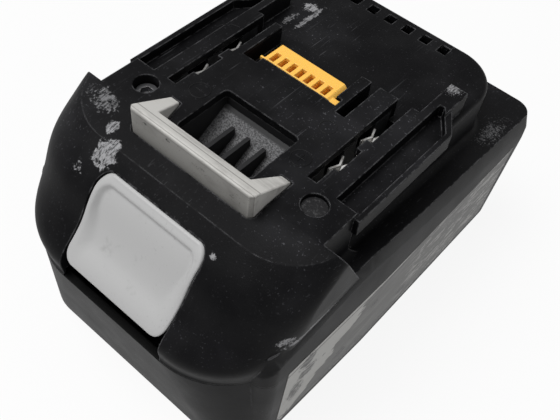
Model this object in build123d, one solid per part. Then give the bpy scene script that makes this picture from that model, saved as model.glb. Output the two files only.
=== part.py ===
from build123d import *
import os
from math import sqrt

# Whole pack: width along X, length along Y with the nose at the low end, height along Z
pack_length = 117.0
deck_height = 62.0
deck_step = 5.0
shoulder_height = 48.9
parting_height = 34.0

# Shared fits
wall = 2.0
seat_gap = 0.1
slide_gap = 0.3
overrun = 1.0
quarter_arc_share = 0.5523

# Case outline
side_draft = 0.9
end_draft = 0.5
upper_draft = 0.5
corner_setback = 9.5
front_taper_width = 1.2
front_taper_length = 40.0
front_corner_radius = 4.0
rear_corner_radius = 6.0
bottom_edge_radius = 2.5
nose_step = 3.0
nose_flat_half = 15.0
nose_corner_depth = 18.6
nose_draft = 4.5
nose_foot_step = 2.3
nose_foot_flat_half = 26.0
nose_foot_corner_depth = 8.0
rim_lip_height = 1.6
rim_lip_thickness = 1.0

# Shoulder of the upper case, which rises behind the ears and falls to the rear
shoulder_edge_width = 1.1
shoulder_edge_height = 4.2
shoulder_place_shares = (0.0, 0.009, 0.028, 0.065, 0.14, 0.214, 0.27, 0.456, 0.735, 1.0)
shoulder_rise_shares = (0.49, 0.6, 0.69, 0.745, 0.826, 0.946, 1.0, 0.9, 0.695, 0.49)

# Head of the upper case
slope_depth = 22.3
head_spread = 2.0
head_flat_half = 20.0
head_corner_depth = 13.0
crown_corner_width = 2.5
crown_corner_height = 3.0
head_back_setback = 28.8
head_back_lean = 15.5
front_strip_depth = 9.3
front_strip_drop = 1.5
slope_height_shares = (0.0, 0.107, 0.214, 0.321, 0.571, 0.804, 0.929, 1.0)
slope_setback_shares = (0.0, 0.003, 0.02, 0.125, 0.377, 0.605, 0.816, 1.0)
spread_shares = (0.0, 0.15, 0.35, 0.6, 1.0, 1.0, 1.0, 1.0)

# Raised deck and its rails
deck_front_setback = 28.5
front_block_inset = 6.5
front_block_depth = 10.8
deck_inset = 11.8
deck_depth = 42.8
island_inset = 8.0
island_rear_setback = 14.2
island_corner_radius = 12.0
island_edge_radius = 1.5
block_foot_radius = 2.0
flange_inset = 5.1
flange_drop = 0.7
flange_depth = 32.0
flange_taper_depth = 6.5
flange_tail_step = 4.2
flange_rim = 1.3
pocket_floor_drop = 3.1
strip_lap = 2.0
strip_end_depth = 12.8
hump_spacing = 32.0
hump_radius = 4.0
hump_height = 45.8
hump_setback = 4.2

# Vents in the rear deck
vent_count = 6
vent_pitch = 5.4
vent_width = 2.6
vent_length = 3.0
vent_setback = 18.2

# Slots and openings of the deck
slot_inset = 7.7
slot_width = 3.7
slot_narrow_width = 2.4
slot_pocket_reach = 3.9
slot_front_depth = 11.1
short_slot_inner = 10.6
short_slot_width = 2.4
short_slot_front_depth = 29.5
side_recess_width = 4.2
side_recess_front_depth = 29.0
tub_wall = 0.8
well_half = 10.4
well_front_depth = 2.4
well_length = 15.5
well_corner_radius = 1.2

# Screws
screw_inset = 2.0
screw_depth = 6.5
screw_recess_radius = 2.9
screw_recess_depth = 4.4
screw_boss_wall = 1.1
screw_boss_foot = 44.5
screw_head_radius = 2.5
screw_head_height = 2.2
screw_shank_radius = 1.5
screw_length = 26.0
screw_socket_radius = 1.5
screw_socket_depth = 1.4
screw_pin_radius = 0.5
post_radius = 2.75
plug_recess = 1.0

# Latch hook and its carriage
hook_half = 16.85
hook_inner_half = 12.5
hook_tip_inner_half = 14.3
hook_setback = 24.1
hook_bar_depth = 4.4
hook_arm_length = 11.8
hook_flat_depth = 1.2
hook_chamfer = 0.8
hook_tip_rise = 0.3
hook_root_height = 53.5
carriage_thickness = 3.0
rib_half_spacing = 9.0
rib_width = 3.0
seat_rise = 7.6
seat_thickness = 2.0
seat_half = 12.5
seat_depth = 6.4
lug_width = 2.1
lug_depth = 1.8
lug_height = 2.6
latch_travel = 5.4

# Release button
button_half = 14.75
button_rise = 6.2
button_top_drop = 4.3
button_corner_radius = 3.0
button_depth = 3.2
button_rim = 1.4
button_dish = 0.9

# Latch springs
spring_radius = 2.5
spring_wire_radius = 0.35
spring_turns = 4
spring_post_radius = 3.2
spring_post_drop = 3.4
spring_stub_radius = 1.5
spring_stub_height = 2.2
spring_setback = 9.2

# Air guide under the well
guide_wall = 1.5
guide_floor_rear = 57.8
guide_floor_front = 47.5
fin_count = 3
fin_pitch = 4.5
fin_thickness = 1.0
fin_top = 57.5
fin_rear_gap = 4.0
fin_front_gap = 0.6

# Cells
cell_radius = 9.15
cell_length = 65.0
cell_nub_radius = 4.5
cell_nub_height = 1.3
cell_groove_depth = 0.5
cell_groove_width = 1.2
cell_groove_place = 3.6
cell_gap = 0.5
post_gap = 0.15
column_count = 5
holder_depth = 5.4
holder_edge = 1.2
holder_bore_gap = 0.1
holder_end_gap = 0.1
holder_cap = 0.3
holder_chamfer = 5.0
pad_thickness = 0.5
row_gap = 0.5
cell_side_gap = 1.2

# Strips that join the cells
link_thickness = 0.3
link_margin = 6.0
link_corner_radius = 2.0
link_slit_width = 1.0
link_slit_length = 5.0
link_tab_width = 3.0
strap_thickness = 0.4
strap_width = 4.4
strap_end_gap = 0.6
lead_radius = 0.5
side_pad_thickness = 0.6
side_pad_margin = 8.0

# Circuit board and its tray
tray_inset = 2.5
tray_thickness = 1.0
tray_length = 56.6
tray_rib_width = 1.6
board_margin = 2.5
board_under = 46.2
board_thickness = 1.6
board_inset = 0.2
chip_size = 9.0
chip_thickness = 1.2
chip_place = 24.0
transistor_width = 10.0
transistor_length = 6.6
transistor_thickness = 2.3
transistor_place = 33.0
thermistor_radius = 1.2
thermistor_length = 5.0
thermistor_lead_radius = 0.35

# Terminals
holder_base_thickness = 1.6
tower_wall = 1.0
tower_front_gap = 0.5
tower_top_gap = 0.2
tower_window_length = 6.4
tower_window_height = 4.5
contact_length = 5.0
contact_thickness = 0.5
contact_top_drop = 2.8
contact_flare = 1.1
contact_front_place = -9.5
contact_rear_place = 1.7
contact_pinch_gap = 0.25
terminal_base_thickness = 1.0
terminal_end_length = 3.0
terminal_pin_size = 1.2

# Signal connector
connector_left = -11.7
connector_width = 19.3
connector_front_depth = 31.5
connector_length = 6.5
connector_chamfer = 0.9
connector_way_count = 7
connector_pitch = 2.51
connector_end_margin = 1.7
connector_window_width = 1.35
connector_window_length = 3.2
connector_window_edge = 0.4
connector_window_depth = 5.0
connector_slot_width = 0.8
connector_slot_height = 3.2
connector_slot_drop = 4.3
connector_tab_width = 1.5
connector_tab_length = 1.9
connector_tab_height = 1.0
connector_tab_lead = 0.2
connector_tab_drop = 0.5
connector_tip_length = 0.5
connector_tip_width = 1.0
contact_blade_thickness = 0.25
contact_blade_gap = 0.2
contact_blade_length = 1.8

# Side labels
label_thickness = 0.12
label_low = 5.0
label_height = 25.0
label_front_gap = 7.0
label_rear_gap = 9.0

# Places worked out from the sizes above
half_length = pack_length / 2
rear_deck_height = deck_height - deck_step
case_room = link_thickness + side_pad_thickness + cell_side_gap
half_width = cell_length / 2 + case_room + wall + side_draft
nose_front = -half_length
body_front = nose_front + corner_setback
upper_half = half_width - upper_draft
nose_half = half_width - nose_step
nose_foot_half = half_width - nose_foot_step
head_half = nose_half + head_spread
footing = parting_height + wall
front_block_half = half_width - front_block_inset
deck_half = half_width - deck_inset
island_half = half_width - island_inset
flange_half = half_width - flange_inset
flange_tail_half = flange_half - flange_tail_step
strip_inner_half = deck_half - strip_lap
screw_half_spacing = deck_half - screw_inset
slot_inner = deck_half - slot_inset
deck_front = nose_front + deck_front_setback
deck_rear = deck_front + deck_depth
deck_under = deck_height - wall
head_back = nose_front + head_back_setback
block_rear = deck_front + front_block_depth
island_rear = half_length - island_rear_setback
flange_bend = block_rear + flange_depth
flange_end = flange_bend + flange_taper_depth
strip_rear = deck_rear + strip_end_depth
screw_place = deck_front + screw_depth
hook_front = nose_front + hook_setback
hook_inner = hook_front + hook_bar_depth
hook_tip = hook_front + hook_arm_length
hook_top = deck_height + latch_travel
button_low = parting_height + button_rise
button_top = deck_height - button_top_drop
seat_height = parting_height + seat_rise
spring_post_height = parting_height - spring_post_drop
opening_half = button_half + slide_gap
opening_top = button_top + slide_gap
well_front = deck_front + well_front_depth
well_rear = well_front + well_length
spring_place = nose_front + spring_setback
column_pitch = 2 * cell_radius + cell_gap
row_pitch = 2 * cell_radius + row_gap
lower_row = wall + pad_thickness + cell_radius
upper_row = lower_row + row_pitch
first_column = screw_place - post_radius - post_gap - cell_radius
second_column = screw_place + post_radius + post_gap + cell_radius
holder_low = wall
holder_top = upper_row + cell_radius + holder_cap
cell_end = cell_length / 2
link_outer = cell_end + link_thickness
holder_outer = cell_end - holder_end_gap
holder_inner = holder_outer - holder_depth
board_half = island_half - wall - board_margin
board_top = board_under + board_thickness
tray_half = cell_end - tray_inset
tray_front = screw_place + screw_recess_radius + screw_boss_wall + slide_gap
tray_rear = tray_front + tray_length
slot_middle = slot_inner + slot_width / 2
tower_outer = slot_inner + slot_width + tower_wall
landing_inner = tower_outer + slide_gap
riser_inner = board_half + slide_gap
tab_top = holder_top + tray_thickness + seat_gap
slot_front = deck_front + slot_front_depth
connector_front = deck_front + connector_front_depth
connector_rear = connector_front + connector_length
connector_right = connector_left + connector_width
connector_top = deck_height - seat_gap


def column_place(index):
    """Place of one column of cells along the pack; the screw posts stand between the first two."""
    if index == 0:
        return first_column
    return second_column + (index - 1) * column_pitch


def block(x_low, x_high, y_low, y_high, z_low, z_high):
    """Box between two corners."""
    middle = Pos((x_low + x_high) / 2, (y_low + y_high) / 2, (z_low + z_high) / 2)
    return middle * Box(x_high - x_low, y_high - y_low, z_high - z_low)


def plan_prism(points, z_low, z_high):
    """Polygon drawn from above, raised between two heights."""
    face = Face(Wire.make_polygon([(x, y, z_low) for x, y in points]))
    return extrude(face, z_high - z_low, dir=(0, 0, 1))


def side_prism(points, x_low, x_high):
    """Polygon of Y and Z places, stretched across the pack."""
    face = Face(Wire.make_polygon([(x_low, y, z) for y, z in points]))
    return extrude(face, x_high - x_low, dir=(1, 0, 0))


def front_prism(points, y_low, y_high):
    """Polygon of X and Z places, stretched along the pack."""
    face = Face(Wire.make_polygon([(x, y_low, z) for x, z in points]))
    return extrude(face, y_high - y_low, dir=(0, 1, 0))


def rod(radius, x, y, z_low, z_high):
    """Upright round bar."""
    return Pos(x, y, (z_low + z_high) / 2) * Cylinder(radius, z_high - z_low)


def both_sides(piece):
    """A piece and its mirror image across the middle of the pack."""
    return piece + mirror(piece, about=Plane.YZ)


def nose_face(height, front, flat, half, depth, back):
    """Plan outline of the nose: flat middle, two quarter-oval corners, straight sides."""
    corner_width = half - flat
    turn = front + depth
    handle_x = quarter_arc_share * corner_width
    handle_y = quarter_arc_share * depth
    left_back = (-half, back, height)
    left_turn = (-half, turn, height)
    left_flat = (-flat, front, height)
    right_flat = (flat, front, height)
    right_turn = (half, turn, height)
    right_back = (half, back, height)
    edges = [
        Edge.make_line(left_back, left_turn),
        Edge.make_bezier(
            left_turn,
            (-half, turn - handle_y, height),
            (-flat - handle_x, front, height),
            left_flat,
        ),
        Edge.make_line(left_flat, right_flat),
        Edge.make_bezier(
            right_flat,
            (flat + handle_x, front, height),
            (half, turn - handle_y, height),
            right_turn,
        ),
        Edge.make_line(right_turn, right_back),
        Edge.make_line(right_back, left_back),
    ]
    return Face(Wire(edges))


def body_face(height, half, front, rear, front_radius, rear_radius):
    """Plan outline of the body, a little narrower at the front, with rounded corners."""
    narrow = half - front_taper_width
    bend = front + front_taper_length
    points = [
        (-narrow, front),
        (narrow, front),
        (half, bend),
        (half, rear),
        (-half, rear),
        (-half, bend),
    ]
    sketch = make_face(Polyline(*points, close=True))
    low_corners = sketch.vertices().group_by(Axis.Y)[0]
    sketch = fillet(low_corners, front_radius)
    high_corners = sketch.vertices().group_by(Axis.Y)[-1]
    sketch = fillet(high_corners, rear_radius)
    return (Pos(0, 0, height) * sketch).face()


def lower_body(inset, low):
    """Tapered body of the lower case, from a low height up to the parting plane."""
    rise = low / parting_height
    draft = side_draft * (1 - rise)
    push = end_draft * (1 - rise)
    small = max(front_corner_radius - inset, seat_gap)
    large = rear_corner_radius - inset
    foot = body_face(
        low,
        half_width - draft - inset,
        body_front + push + inset,
        half_length - push - inset,
        small,
        large,
    )
    top = body_face(
        parting_height,
        half_width - inset,
        body_front + inset,
        half_length - inset,
        small,
        large,
    )
    return loft([foot, top], ruled=True)


def parting_nose_face(height, inset):
    """Outline of the nose as it is at the parting plane, drawn at any height."""
    return nose_face(
        height,
        nose_front + inset,
        nose_flat_half,
        nose_half - inset,
        nose_corner_depth - inset,
        body_front + nose_corner_depth,
    )


def lower_nose(inset, low):
    """Tapered nose of the lower case, from a low height up to the parting plane."""
    fall = 1 - low / parting_height
    back = body_front + nose_corner_depth
    foot = nose_face(
        low,
        nose_front + fall * nose_draft + inset,
        nose_flat_half + fall * (nose_foot_flat_half - nose_flat_half),
        nose_half + fall * (nose_foot_half - nose_half) - inset,
        nose_corner_depth + fall * (nose_foot_corner_depth - nose_corner_depth) - inset,
        back,
    )
    top = parting_nose_face(parting_height, inset)
    return loft([foot, top], ruled=True)


def case_plan(inset, low, high):
    """Straight-sided prism with the case's outline at the parting plane."""
    small = max(front_corner_radius - inset, seat_gap)
    large = rear_corner_radius - inset
    body = body_face(
        low, half_width - inset, body_front + inset, half_length - inset, small, large
    )
    nose = parting_nose_face(low, inset)
    rise = high - low
    return extrude(body, rise, dir=(0, 0, 1)) + extrude(nose, rise, dir=(0, 0, 1))


def make_lower_case():
    """Lower shell: tapered tub with a rim lip, two screw posts and two spring posts."""
    body = lower_body(0, 0)
    body = fillet(body.edges().group_by(Axis.Z)[0], bottom_edge_radius)
    nose = lower_nose(0, 0)
    foot_edges = nose.edges().group_by(Axis.Z)[0].sort_by(Axis.Y)[:-1]
    nose = fillet(foot_edges, bottom_edge_radius)
    shell = body + nose
    shell -= lower_body(wall, wall)
    shell -= lower_nose(wall, wall)
    shell -= case_plan(wall, parting_height, parting_height + overrun)
    lip = case_plan(wall - rim_lip_thickness, parting_height, parting_height + rim_lip_height)
    lip -= case_plan(wall, parting_height - overrun, parting_height + rim_lip_height + overrun)
    gate_half = opening_half + wall
    lip -= block(
        -gate_half, gate_half, nose_front, hook_front, parting_height, parting_height + wall
    )
    shell += lip
    shell += both_sides(
        rod(post_radius, screw_half_spacing, screw_place, wall, screw_boss_foot)
    )
    shell -= both_sides(
        rod(
            screw_shank_radius,
            screw_half_spacing,
            screw_place,
            deck_height - screw_recess_depth - screw_length - overrun,
            deck_height,
        )
    )
    shell += both_sides(
        rod(spring_post_radius, rib_half_spacing, spring_place, wall, spring_post_height)
    )
    shell += both_sides(
        rod(
            spring_stub_radius,
            rib_half_spacing,
            spring_place,
            spring_post_height,
            spring_post_height + spring_stub_height,
        )
    )
    return shell


def head_loft(shift, inset):
    """Sloping nose of the head: one plan outline carried up and back along the slope."""
    rise = deck_height - parting_height
    back = head_back + nose_corner_depth
    faces = []
    for up, setback, spread in zip(slope_height_shares, slope_setback_shares, spread_shares):
        faces.append(
            nose_face(
                parting_height + up * rise,
                nose_front + setback * slope_depth + shift + inset,
                nose_flat_half + spread * (head_flat_half - nose_flat_half),
                nose_half + spread * head_spread - inset,
                nose_corner_depth + spread * (head_corner_depth - nose_corner_depth) - inset,
                back,
            )
        )
    return loft(faces)


def crown_prism(inset):
    """Front view of the head: flat top with quarter-oval shoulders."""
    half = head_half - inset
    top = deck_height - inset
    corner_width = crown_corner_width - inset / 2
    corner_height = crown_corner_height - inset / 2
    foot = top - corner_height
    flat = half - corner_width
    low = parting_height - overrun
    start = nose_front - overrun
    handle_x = quarter_arc_share * corner_width
    handle_z = quarter_arc_share * corner_height
    edges = [
        Edge.make_line((-half, start, low), (half, start, low)),
        Edge.make_line((half, start, low), (half, start, foot)),
        Edge.make_bezier(
            (half, start, foot),
            (half, start, foot + handle_z),
            (flat + handle_x, start, top),
            (flat, start, top),
        ),
        Edge.make_line((flat, start, top), (-flat, start, top)),
        Edge.make_bezier(
            (-flat, start, top),
            (-flat - handle_x, start, top),
            (-half, start, foot + handle_z),
            (-half, start, foot),
        ),
        Edge.make_line((-half, start, foot), (-half, start, low)),
    ]
    return extrude(Face(Wire(edges)), half_length, dir=(0, 1, 0))


def front_strip_cut(inset):
    """Wedge above the strip that falls from the deck's front edge to the ridge."""
    ahead = 2 * front_strip_depth
    drop = 2 * front_strip_drop
    top = deck_height + wall
    points = [
        (deck_front, deck_height - inset),
        (deck_front - ahead, deck_height - inset - drop),
        (deck_front - ahead, top),
        (deck_front, top),
    ]
    return side_prism(points, -half_width, half_width)


def head_rear_cut(inset):
    """Space behind the head, whose back leans towards the rear at its foot."""
    back = head_back - inset
    points = [
        (back, deck_height + overrun),
        (back, deck_height),
        (back + head_back_lean, parting_height),
        (back + head_back_lean, parting_height - overrun),
        (half_length, parting_height - overrun),
        (half_length, deck_height + overrun),
    ]
    return side_prism(points, -half_width, half_width)


def head_solid(inset):
    """Head of the upper case, outside with no inset and inside with the wall as inset."""
    head = head_loft(0, inset) & crown_prism(inset)
    head -= front_strip_cut(inset)
    head -= head_rear_cut(inset)
    return head


def shoulder_profile(inset):
    """Side view of the skirt: low at the ears, highest behind the head, falling to the rear."""
    length = half_length - body_front
    rise = shoulder_height - parting_height
    crest = [
        (-half_width, body_front + place * length, parting_height + up * rise - inset)
        for place, up in zip(shoulder_place_shares, shoulder_rise_shares)
    ]
    low = parting_height - overrun
    front_top = (-half_width, body_front - overrun, crest[0][2])
    front_low = (-half_width, body_front - overrun, low)
    rear_low = (-half_width, half_length + overrun, low)
    rear_top = (-half_width, half_length + overrun, crest[-1][2])
    edges = [
        Edge.make_spline(crest),
        Edge.make_line(crest[-1], rear_top),
        Edge.make_line(rear_top, rear_low),
        Edge.make_line(rear_low, front_low),
        Edge.make_line(front_low, front_top),
        Edge.make_line(front_top, crest[0]),
    ]
    return extrude(Face(Wire(edges)), 2 * half_width, dir=(1, 0, 0))


def skirt_solid(inset):
    """Upright band of the upper case between the parting plane and the shoulder."""
    small = max(front_corner_radius - inset, seat_gap)
    large = rear_corner_radius - inset
    foot = body_face(
        parting_height,
        half_width - inset,
        body_front + inset,
        half_length - inset,
        small,
        large,
    )
    top = body_face(
        shoulder_height + overrun,
        upper_half - inset,
        body_front + upper_draft + inset,
        half_length - upper_draft - inset,
        small,
        large,
    )
    return loft([foot, top], ruled=True) & shoulder_profile(inset)


def island_solid(inset, low):
    """Raised rear deck with two large rounded corners."""
    half = island_half - inset
    rear = island_rear - inset
    length = rear - deck_front
    sketch = Rectangle(2 * half, length)
    far_corners = sketch.vertices().group_by(Axis.Y)[-1]
    sketch = fillet(far_corners, island_corner_radius - inset)
    face = (Pos(0, (rear + deck_front) / 2, low) * sketch).face()
    return extrude(face, rear_deck_height - inset - low, dir=(0, 0, 1))


def front_block(inset, low, high):
    """Wide front end of the raised deck."""
    half = front_block_half - inset
    return block(-half, half, deck_front, block_rear - inset, low, high)


def flange_plan(half, tail, rear, low, high):
    """Right-hand rail flange seen from above, bending inwards at its rear end."""
    points = [
        (0, block_rear - overrun),
        (half, block_rear - overrun),
        (half, flange_bend),
        (tail, rear),
        (0, rear),
    ]
    return plan_prism(points, low, high)


def deck_and_rails():
    """Everything that stands above the rear deck: deck, strips, rails and their pockets."""
    raised = block(-deck_half, deck_half, deck_front, deck_rear, rear_deck_height, deck_height)
    rim_top = deck_height - flange_drop
    flange = flange_plan(flange_half, flange_tail_half, flange_end, rear_deck_height, rim_top)
    strip = block(
        strip_inner_half, flange_tail_half, deck_rear, strip_rear, rear_deck_height, deck_height
    )
    side = flange - block(
        0, strip_inner_half, deck_rear, flange_end + overrun, shoulder_height, deck_height
    )
    side += strip
    pocket_half = flange_half - flange_rim
    pocket_tail = flange_tail_half - flange_rim
    pocket = plan_prism(
        [
            (deck_half, block_rear),
            (pocket_half, block_rear),
            (pocket_half, flange_bend - flange_rim / 2),
            (pocket_tail, flange_end - flange_rim),
            (deck_half, flange_end - flange_rim),
        ],
        deck_height - pocket_floor_drop,
        deck_height + overrun,
    )
    side -= pocket
    return raised + both_sides(side)


def rear_humps():
    """Two rounded humps on the rear edge of the shoulder."""
    centre_height = hump_height - hump_radius
    ball = Pos(hump_spacing / 2, half_length - hump_setback, centre_height) * Sphere(hump_radius)
    return both_sides(ball)


def upper_outside():
    """Outer form of the upper case."""
    skirt = skirt_solid(0)
    shoulder = skirt.faces().sort_by(Axis.Z)[-1]
    skirt = chamfer(
        shoulder.edges(), shoulder_edge_width, shoulder_edge_height, reference=shoulder
    )
    island = island_solid(0, footing)
    island_rim = island.edges().group_by(Axis.Z)[-1].filter_by_position(
        Axis.Y, island_rear - island_corner_radius - overrun, island_rear + overrun
    )
    island = fillet(island_rim, island_edge_radius)
    island += front_block(0, footing, deck_height)
    form = skirt + island
    feet = new_edges(skirt, island, combined=form)
    feet = feet.filter_by_position(Axis.Y, deck_front + overrun, island_rear + seat_gap)
    form = fillet(feet, block_foot_radius)
    form += deck_and_rails()
    form += head_solid(0)
    form += rear_humps()
    return form


def deck_tubs():
    """Walls and floors round the low places in the deck where the plug's keys slide in."""
    tubs = block(
        short_slot_inner - tub_wall,
        short_slot_inner + short_slot_width + tub_wall,
        deck_front + short_slot_front_depth - tub_wall,
        deck_rear,
        rear_deck_height - wall,
        deck_height,
    )
    tubs += block(
        connector_left - side_recess_width - tub_wall,
        connector_left,
        deck_front + side_recess_front_depth - tub_wall,
        deck_rear,
        rear_deck_height - wall,
        deck_height,
    )
    tubs += block(
        connector_left - tub_wall,
        connector_right + slide_gap + tub_wall,
        connector_rear - tub_wall,
        deck_rear,
        rear_deck_height - wall,
        deck_height,
    )
    return tubs


def deck_recesses():
    """Low places in the deck: round the connector, beside it, and the short slot."""
    top = deck_height + overrun
    rear = deck_rear + overrun
    left = connector_left - slide_gap
    right = connector_right + slide_gap
    cuts = block(left, right, connector_rear, rear, rear_deck_height, top)
    cuts += block(
        connector_left - side_recess_width,
        connector_left,
        deck_front + side_recess_front_depth,
        rear,
        rear_deck_height,
        top,
    )
    cuts += block(
        short_slot_inner,
        short_slot_inner + short_slot_width,
        deck_front + short_slot_front_depth,
        rear,
        rear_deck_height,
        top,
    )
    low = rear_deck_height - wall - overrun
    cuts += block(
        left, right, connector_front - slide_gap, connector_rear + slide_gap, low, top
    )
    tab_front = connector_front - connector_tab_lead
    cuts += block(
        connector_right,
        connector_right + connector_tab_width + slide_gap,
        tab_front - slide_gap,
        tab_front + connector_tab_length + slide_gap,
        low,
        top,
    )
    cuts += block(
        connector_left - connector_tip_width - slide_gap,
        connector_left,
        tab_front - slide_gap,
        tab_front + connector_tip_length + slide_gap,
        low,
        top,
    )
    return cuts


def terminal_slot(left):
    """Narrow slot with a pocket at the front contact, wide from the rear contact on."""
    low = rear_deck_height
    high = deck_height + overrun
    right = left + slot_width
    slot = block(left, left + slot_narrow_width, slot_front, deck_rear + overrun, low, high)
    pocket_front = contact_front_place - slot_pocket_reach
    pocket_rear = contact_front_place + slot_pocket_reach
    slot += block(left, right, pocket_front, pocket_rear, low, high)
    wide_front = contact_rear_place - slot_pocket_reach
    slot += block(left, right, wide_front, deck_rear + overrun, low, high)
    return slot


def terminal_slots():
    """Two slots that open at the rear step; both have their pockets on the right."""
    return terminal_slot(slot_inner) + terminal_slot(-slot_inner - slot_width)


def rear_vents():
    """Row of small vents near the rear edge of the rear deck."""
    row = Part()
    start = -vent_pitch * (vent_count - 1) / 2
    place = half_length - vent_setback
    for index in range(vent_count):
        x = start + index * vent_pitch
        row += block(
            x - vent_width / 2,
            x + vent_width / 2,
            place - vent_length / 2,
            place + vent_length / 2,
            rear_deck_height - wall - overrun,
            rear_deck_height + overrun,
        )
    return row


def well_opening():
    """Rectangular air well behind the latch, cut through the deck."""
    length = well_rear - well_front
    shape = RectangleRounded(2 * well_half, length, well_corner_radius)
    face = (Pos(0, (well_front + well_rear) / 2, deck_under - overrun) * shape).face()
    return extrude(face, wall + 2 * overrun, dir=(0, 0, 1))


def hook_outline(gap):
    """Plan outline of the latch hook: a bar with two tapering arms, grown by a gap."""
    points = [
        (-hook_half, hook_front + hook_chamfer),
        (-hook_half + hook_chamfer, hook_front),
        (hook_half - hook_chamfer, hook_front),
        (hook_half, hook_front + hook_chamfer),
        (hook_half, hook_tip),
        (hook_tip_inner_half, hook_tip),
        (hook_inner_half, hook_inner),
        (-hook_inner_half, hook_inner),
        (-hook_tip_inner_half, hook_tip),
        (-hook_half, hook_tip),
    ]
    face = Face(Wire.make_polygon([(x, y, 0) for x, y in points]))
    if gap:
        face = offset(face, gap, kind=Kind.INTERSECTION).face()
    return face


def hook_opening():
    """Hole in the deck that the hook rises through."""
    face = Pos(0, 0, hook_root_height) * hook_outline(slide_gap)
    return extrude(face, hook_top - hook_root_height, dir=(0, 0, 1))


def button_window(grow, low):
    """Front view of the button, rounded at its corners, stretched along the pack."""
    half = button_half + grow
    top = button_top + grow
    sketch = RectangleRounded(2 * half, top - low, button_corner_radius)
    face = Plane.XZ * (Pos(0, (top + low) / 2) * sketch)
    face = Pos(0, nose_front - overrun, 0) * face
    return extrude(face.face(), hook_setback - overrun, dir=(0, 1, 0))


def button_opening():
    """Opening in the sloping front, which runs down to the parting plane."""
    upper = button_window(slide_gap, button_low)
    lower = block(
        -opening_half,
        opening_half,
        nose_front - overrun,
        hook_front - overrun,
        parting_height - overrun,
        (button_low + button_top) / 2,
    )
    return upper + lower


def screw_bosses():
    """Tubes under the deck that carry the screw recesses."""
    radius = screw_recess_radius + screw_boss_wall
    return both_sides(rod(radius, screw_half_spacing, screw_place, screw_boss_foot, deck_height))


def screw_holes():
    """Recess and through hole of each screw."""
    floor = deck_height - screw_recess_depth
    hole = rod(
        screw_recess_radius, screw_half_spacing, screw_place, floor, deck_height + overrun
    )
    hole += rod(
        screw_shank_radius + seat_gap,
        screw_half_spacing,
        screw_place,
        screw_boss_foot - overrun,
        floor,
    )
    return both_sides(hole)


def upper_hollow():
    """Space inside the upper case."""
    room = skirt_solid(wall)
    room += island_solid(wall, footing)
    room += front_block(wall, footing, deck_under)
    half = deck_half - wall
    room += block(
        -half, half, deck_front, deck_rear - wall, rear_deck_height - wall - overrun, deck_under
    )
    room += head_solid(wall)
    return room


def make_upper_case():
    """Upper shell with head, deck, rails, vents, slots and the latch openings."""
    shell = upper_outside() - upper_hollow()
    rebate = wall - rim_lip_thickness - seat_gap
    shell -= case_plan(rebate, parting_height - overrun, parting_height + rim_lip_height + seat_gap)
    shell += deck_tubs()
    shell += screw_bosses()
    shell -= deck_recesses()
    shell -= terminal_slots()
    shell -= rear_vents()
    shell -= well_opening()
    shell -= hook_opening()
    shell -= button_opening()
    shell -= screw_holes()
    return shell


def make_release_button():
    """Dished push button that follows the slope of the head."""
    skin = head_loft(0, 0) - head_loft(button_depth, 0)
    body = button_window(0, button_low) & skin
    dish_half = button_half - button_rim
    low = button_low + button_rim
    high = button_top - button_rim
    sketch = RectangleRounded(2 * dish_half, high - low, button_corner_radius)
    face = Pos(0, nose_front - overrun, 0) * (Plane.XZ * (Pos(0, (high + low) / 2) * sketch))
    dish = extrude(face.face(), hook_setback - overrun, dir=(0, 1, 0))
    return body - (dish - head_loft(button_dish, 0))


def make_latch_hook():
    """Hook with a ramped top, its stem, and the ribs and spring seat that carry the button."""
    stem = extrude(
        Pos(0, 0, hook_root_height) * hook_outline(0), hook_top - hook_root_height, dir=(0, 0, 1)
    )
    ramp_start = hook_front + hook_flat_depth
    ramp = side_prism(
        [
            (ramp_start, hook_top),
            (hook_tip, deck_height + hook_tip_rise),
            (hook_tip + overrun, deck_height + hook_tip_rise),
            (hook_tip + overrun, hook_top + overrun),
            (ramp_start, hook_top + overrun),
        ],
        -hook_half - overrun,
        hook_half + overrun,
    )
    hook = stem - ramp
    low = hook_root_height - carriage_thickness
    seat_back = spring_place + seat_depth / 2
    rib = side_prism(
        [
            (hook_front + hook_bar_depth, hook_root_height),
            (nose_front, hook_root_height),
            (nose_front, seat_height),
            (seat_back, seat_height),
            (hook_front - seat_depth, low),
            (hook_front + hook_bar_depth, low),
        ],
        rib_half_spacing - rib_width / 2,
        rib_half_spacing + rib_width / 2,
    )
    frame = both_sides(rib)
    frame += block(-seat_half, seat_half, hook_front - seat_depth, hook_inner, low, hook_root_height)
    frame += block(
        -seat_half,
        seat_half,
        nose_front,
        seat_back,
        seat_height,
        seat_height + seat_thickness,
    )
    frame += both_sides(
        rod(
            spring_stub_radius,
            rib_half_spacing,
            spring_place,
            seat_height - spring_stub_height,
            seat_height,
        )
    )
    frame &= head_loft(button_depth, 0) + block(
        -seat_half, seat_half, nose_front, hook_inner, spring_post_height, seat_height
    )
    lug = block(
        hook_half - lug_width,
        hook_half + lug_width,
        hook_inner,
        hook_inner + lug_depth,
        deck_under - seat_gap - lug_height,
        deck_under - seat_gap,
    )
    return hook + frame + both_sides(lug)


def make_latch_spring(side):
    """Coil spring between the lower case's post and the carriage's seat."""
    height = seat_height - spring_post_height - 2 * spring_wire_radius
    path = Helix(height / spring_turns, height, spring_radius - spring_wire_radius)
    profile = Plane(origin=path @ 0, z_dir=path % 0) * Circle(spring_wire_radius)
    coil = sweep(profile, path=path)
    low = spring_post_height + spring_wire_radius
    return Pos(side * rib_half_spacing, spring_place, low) * coil


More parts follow.
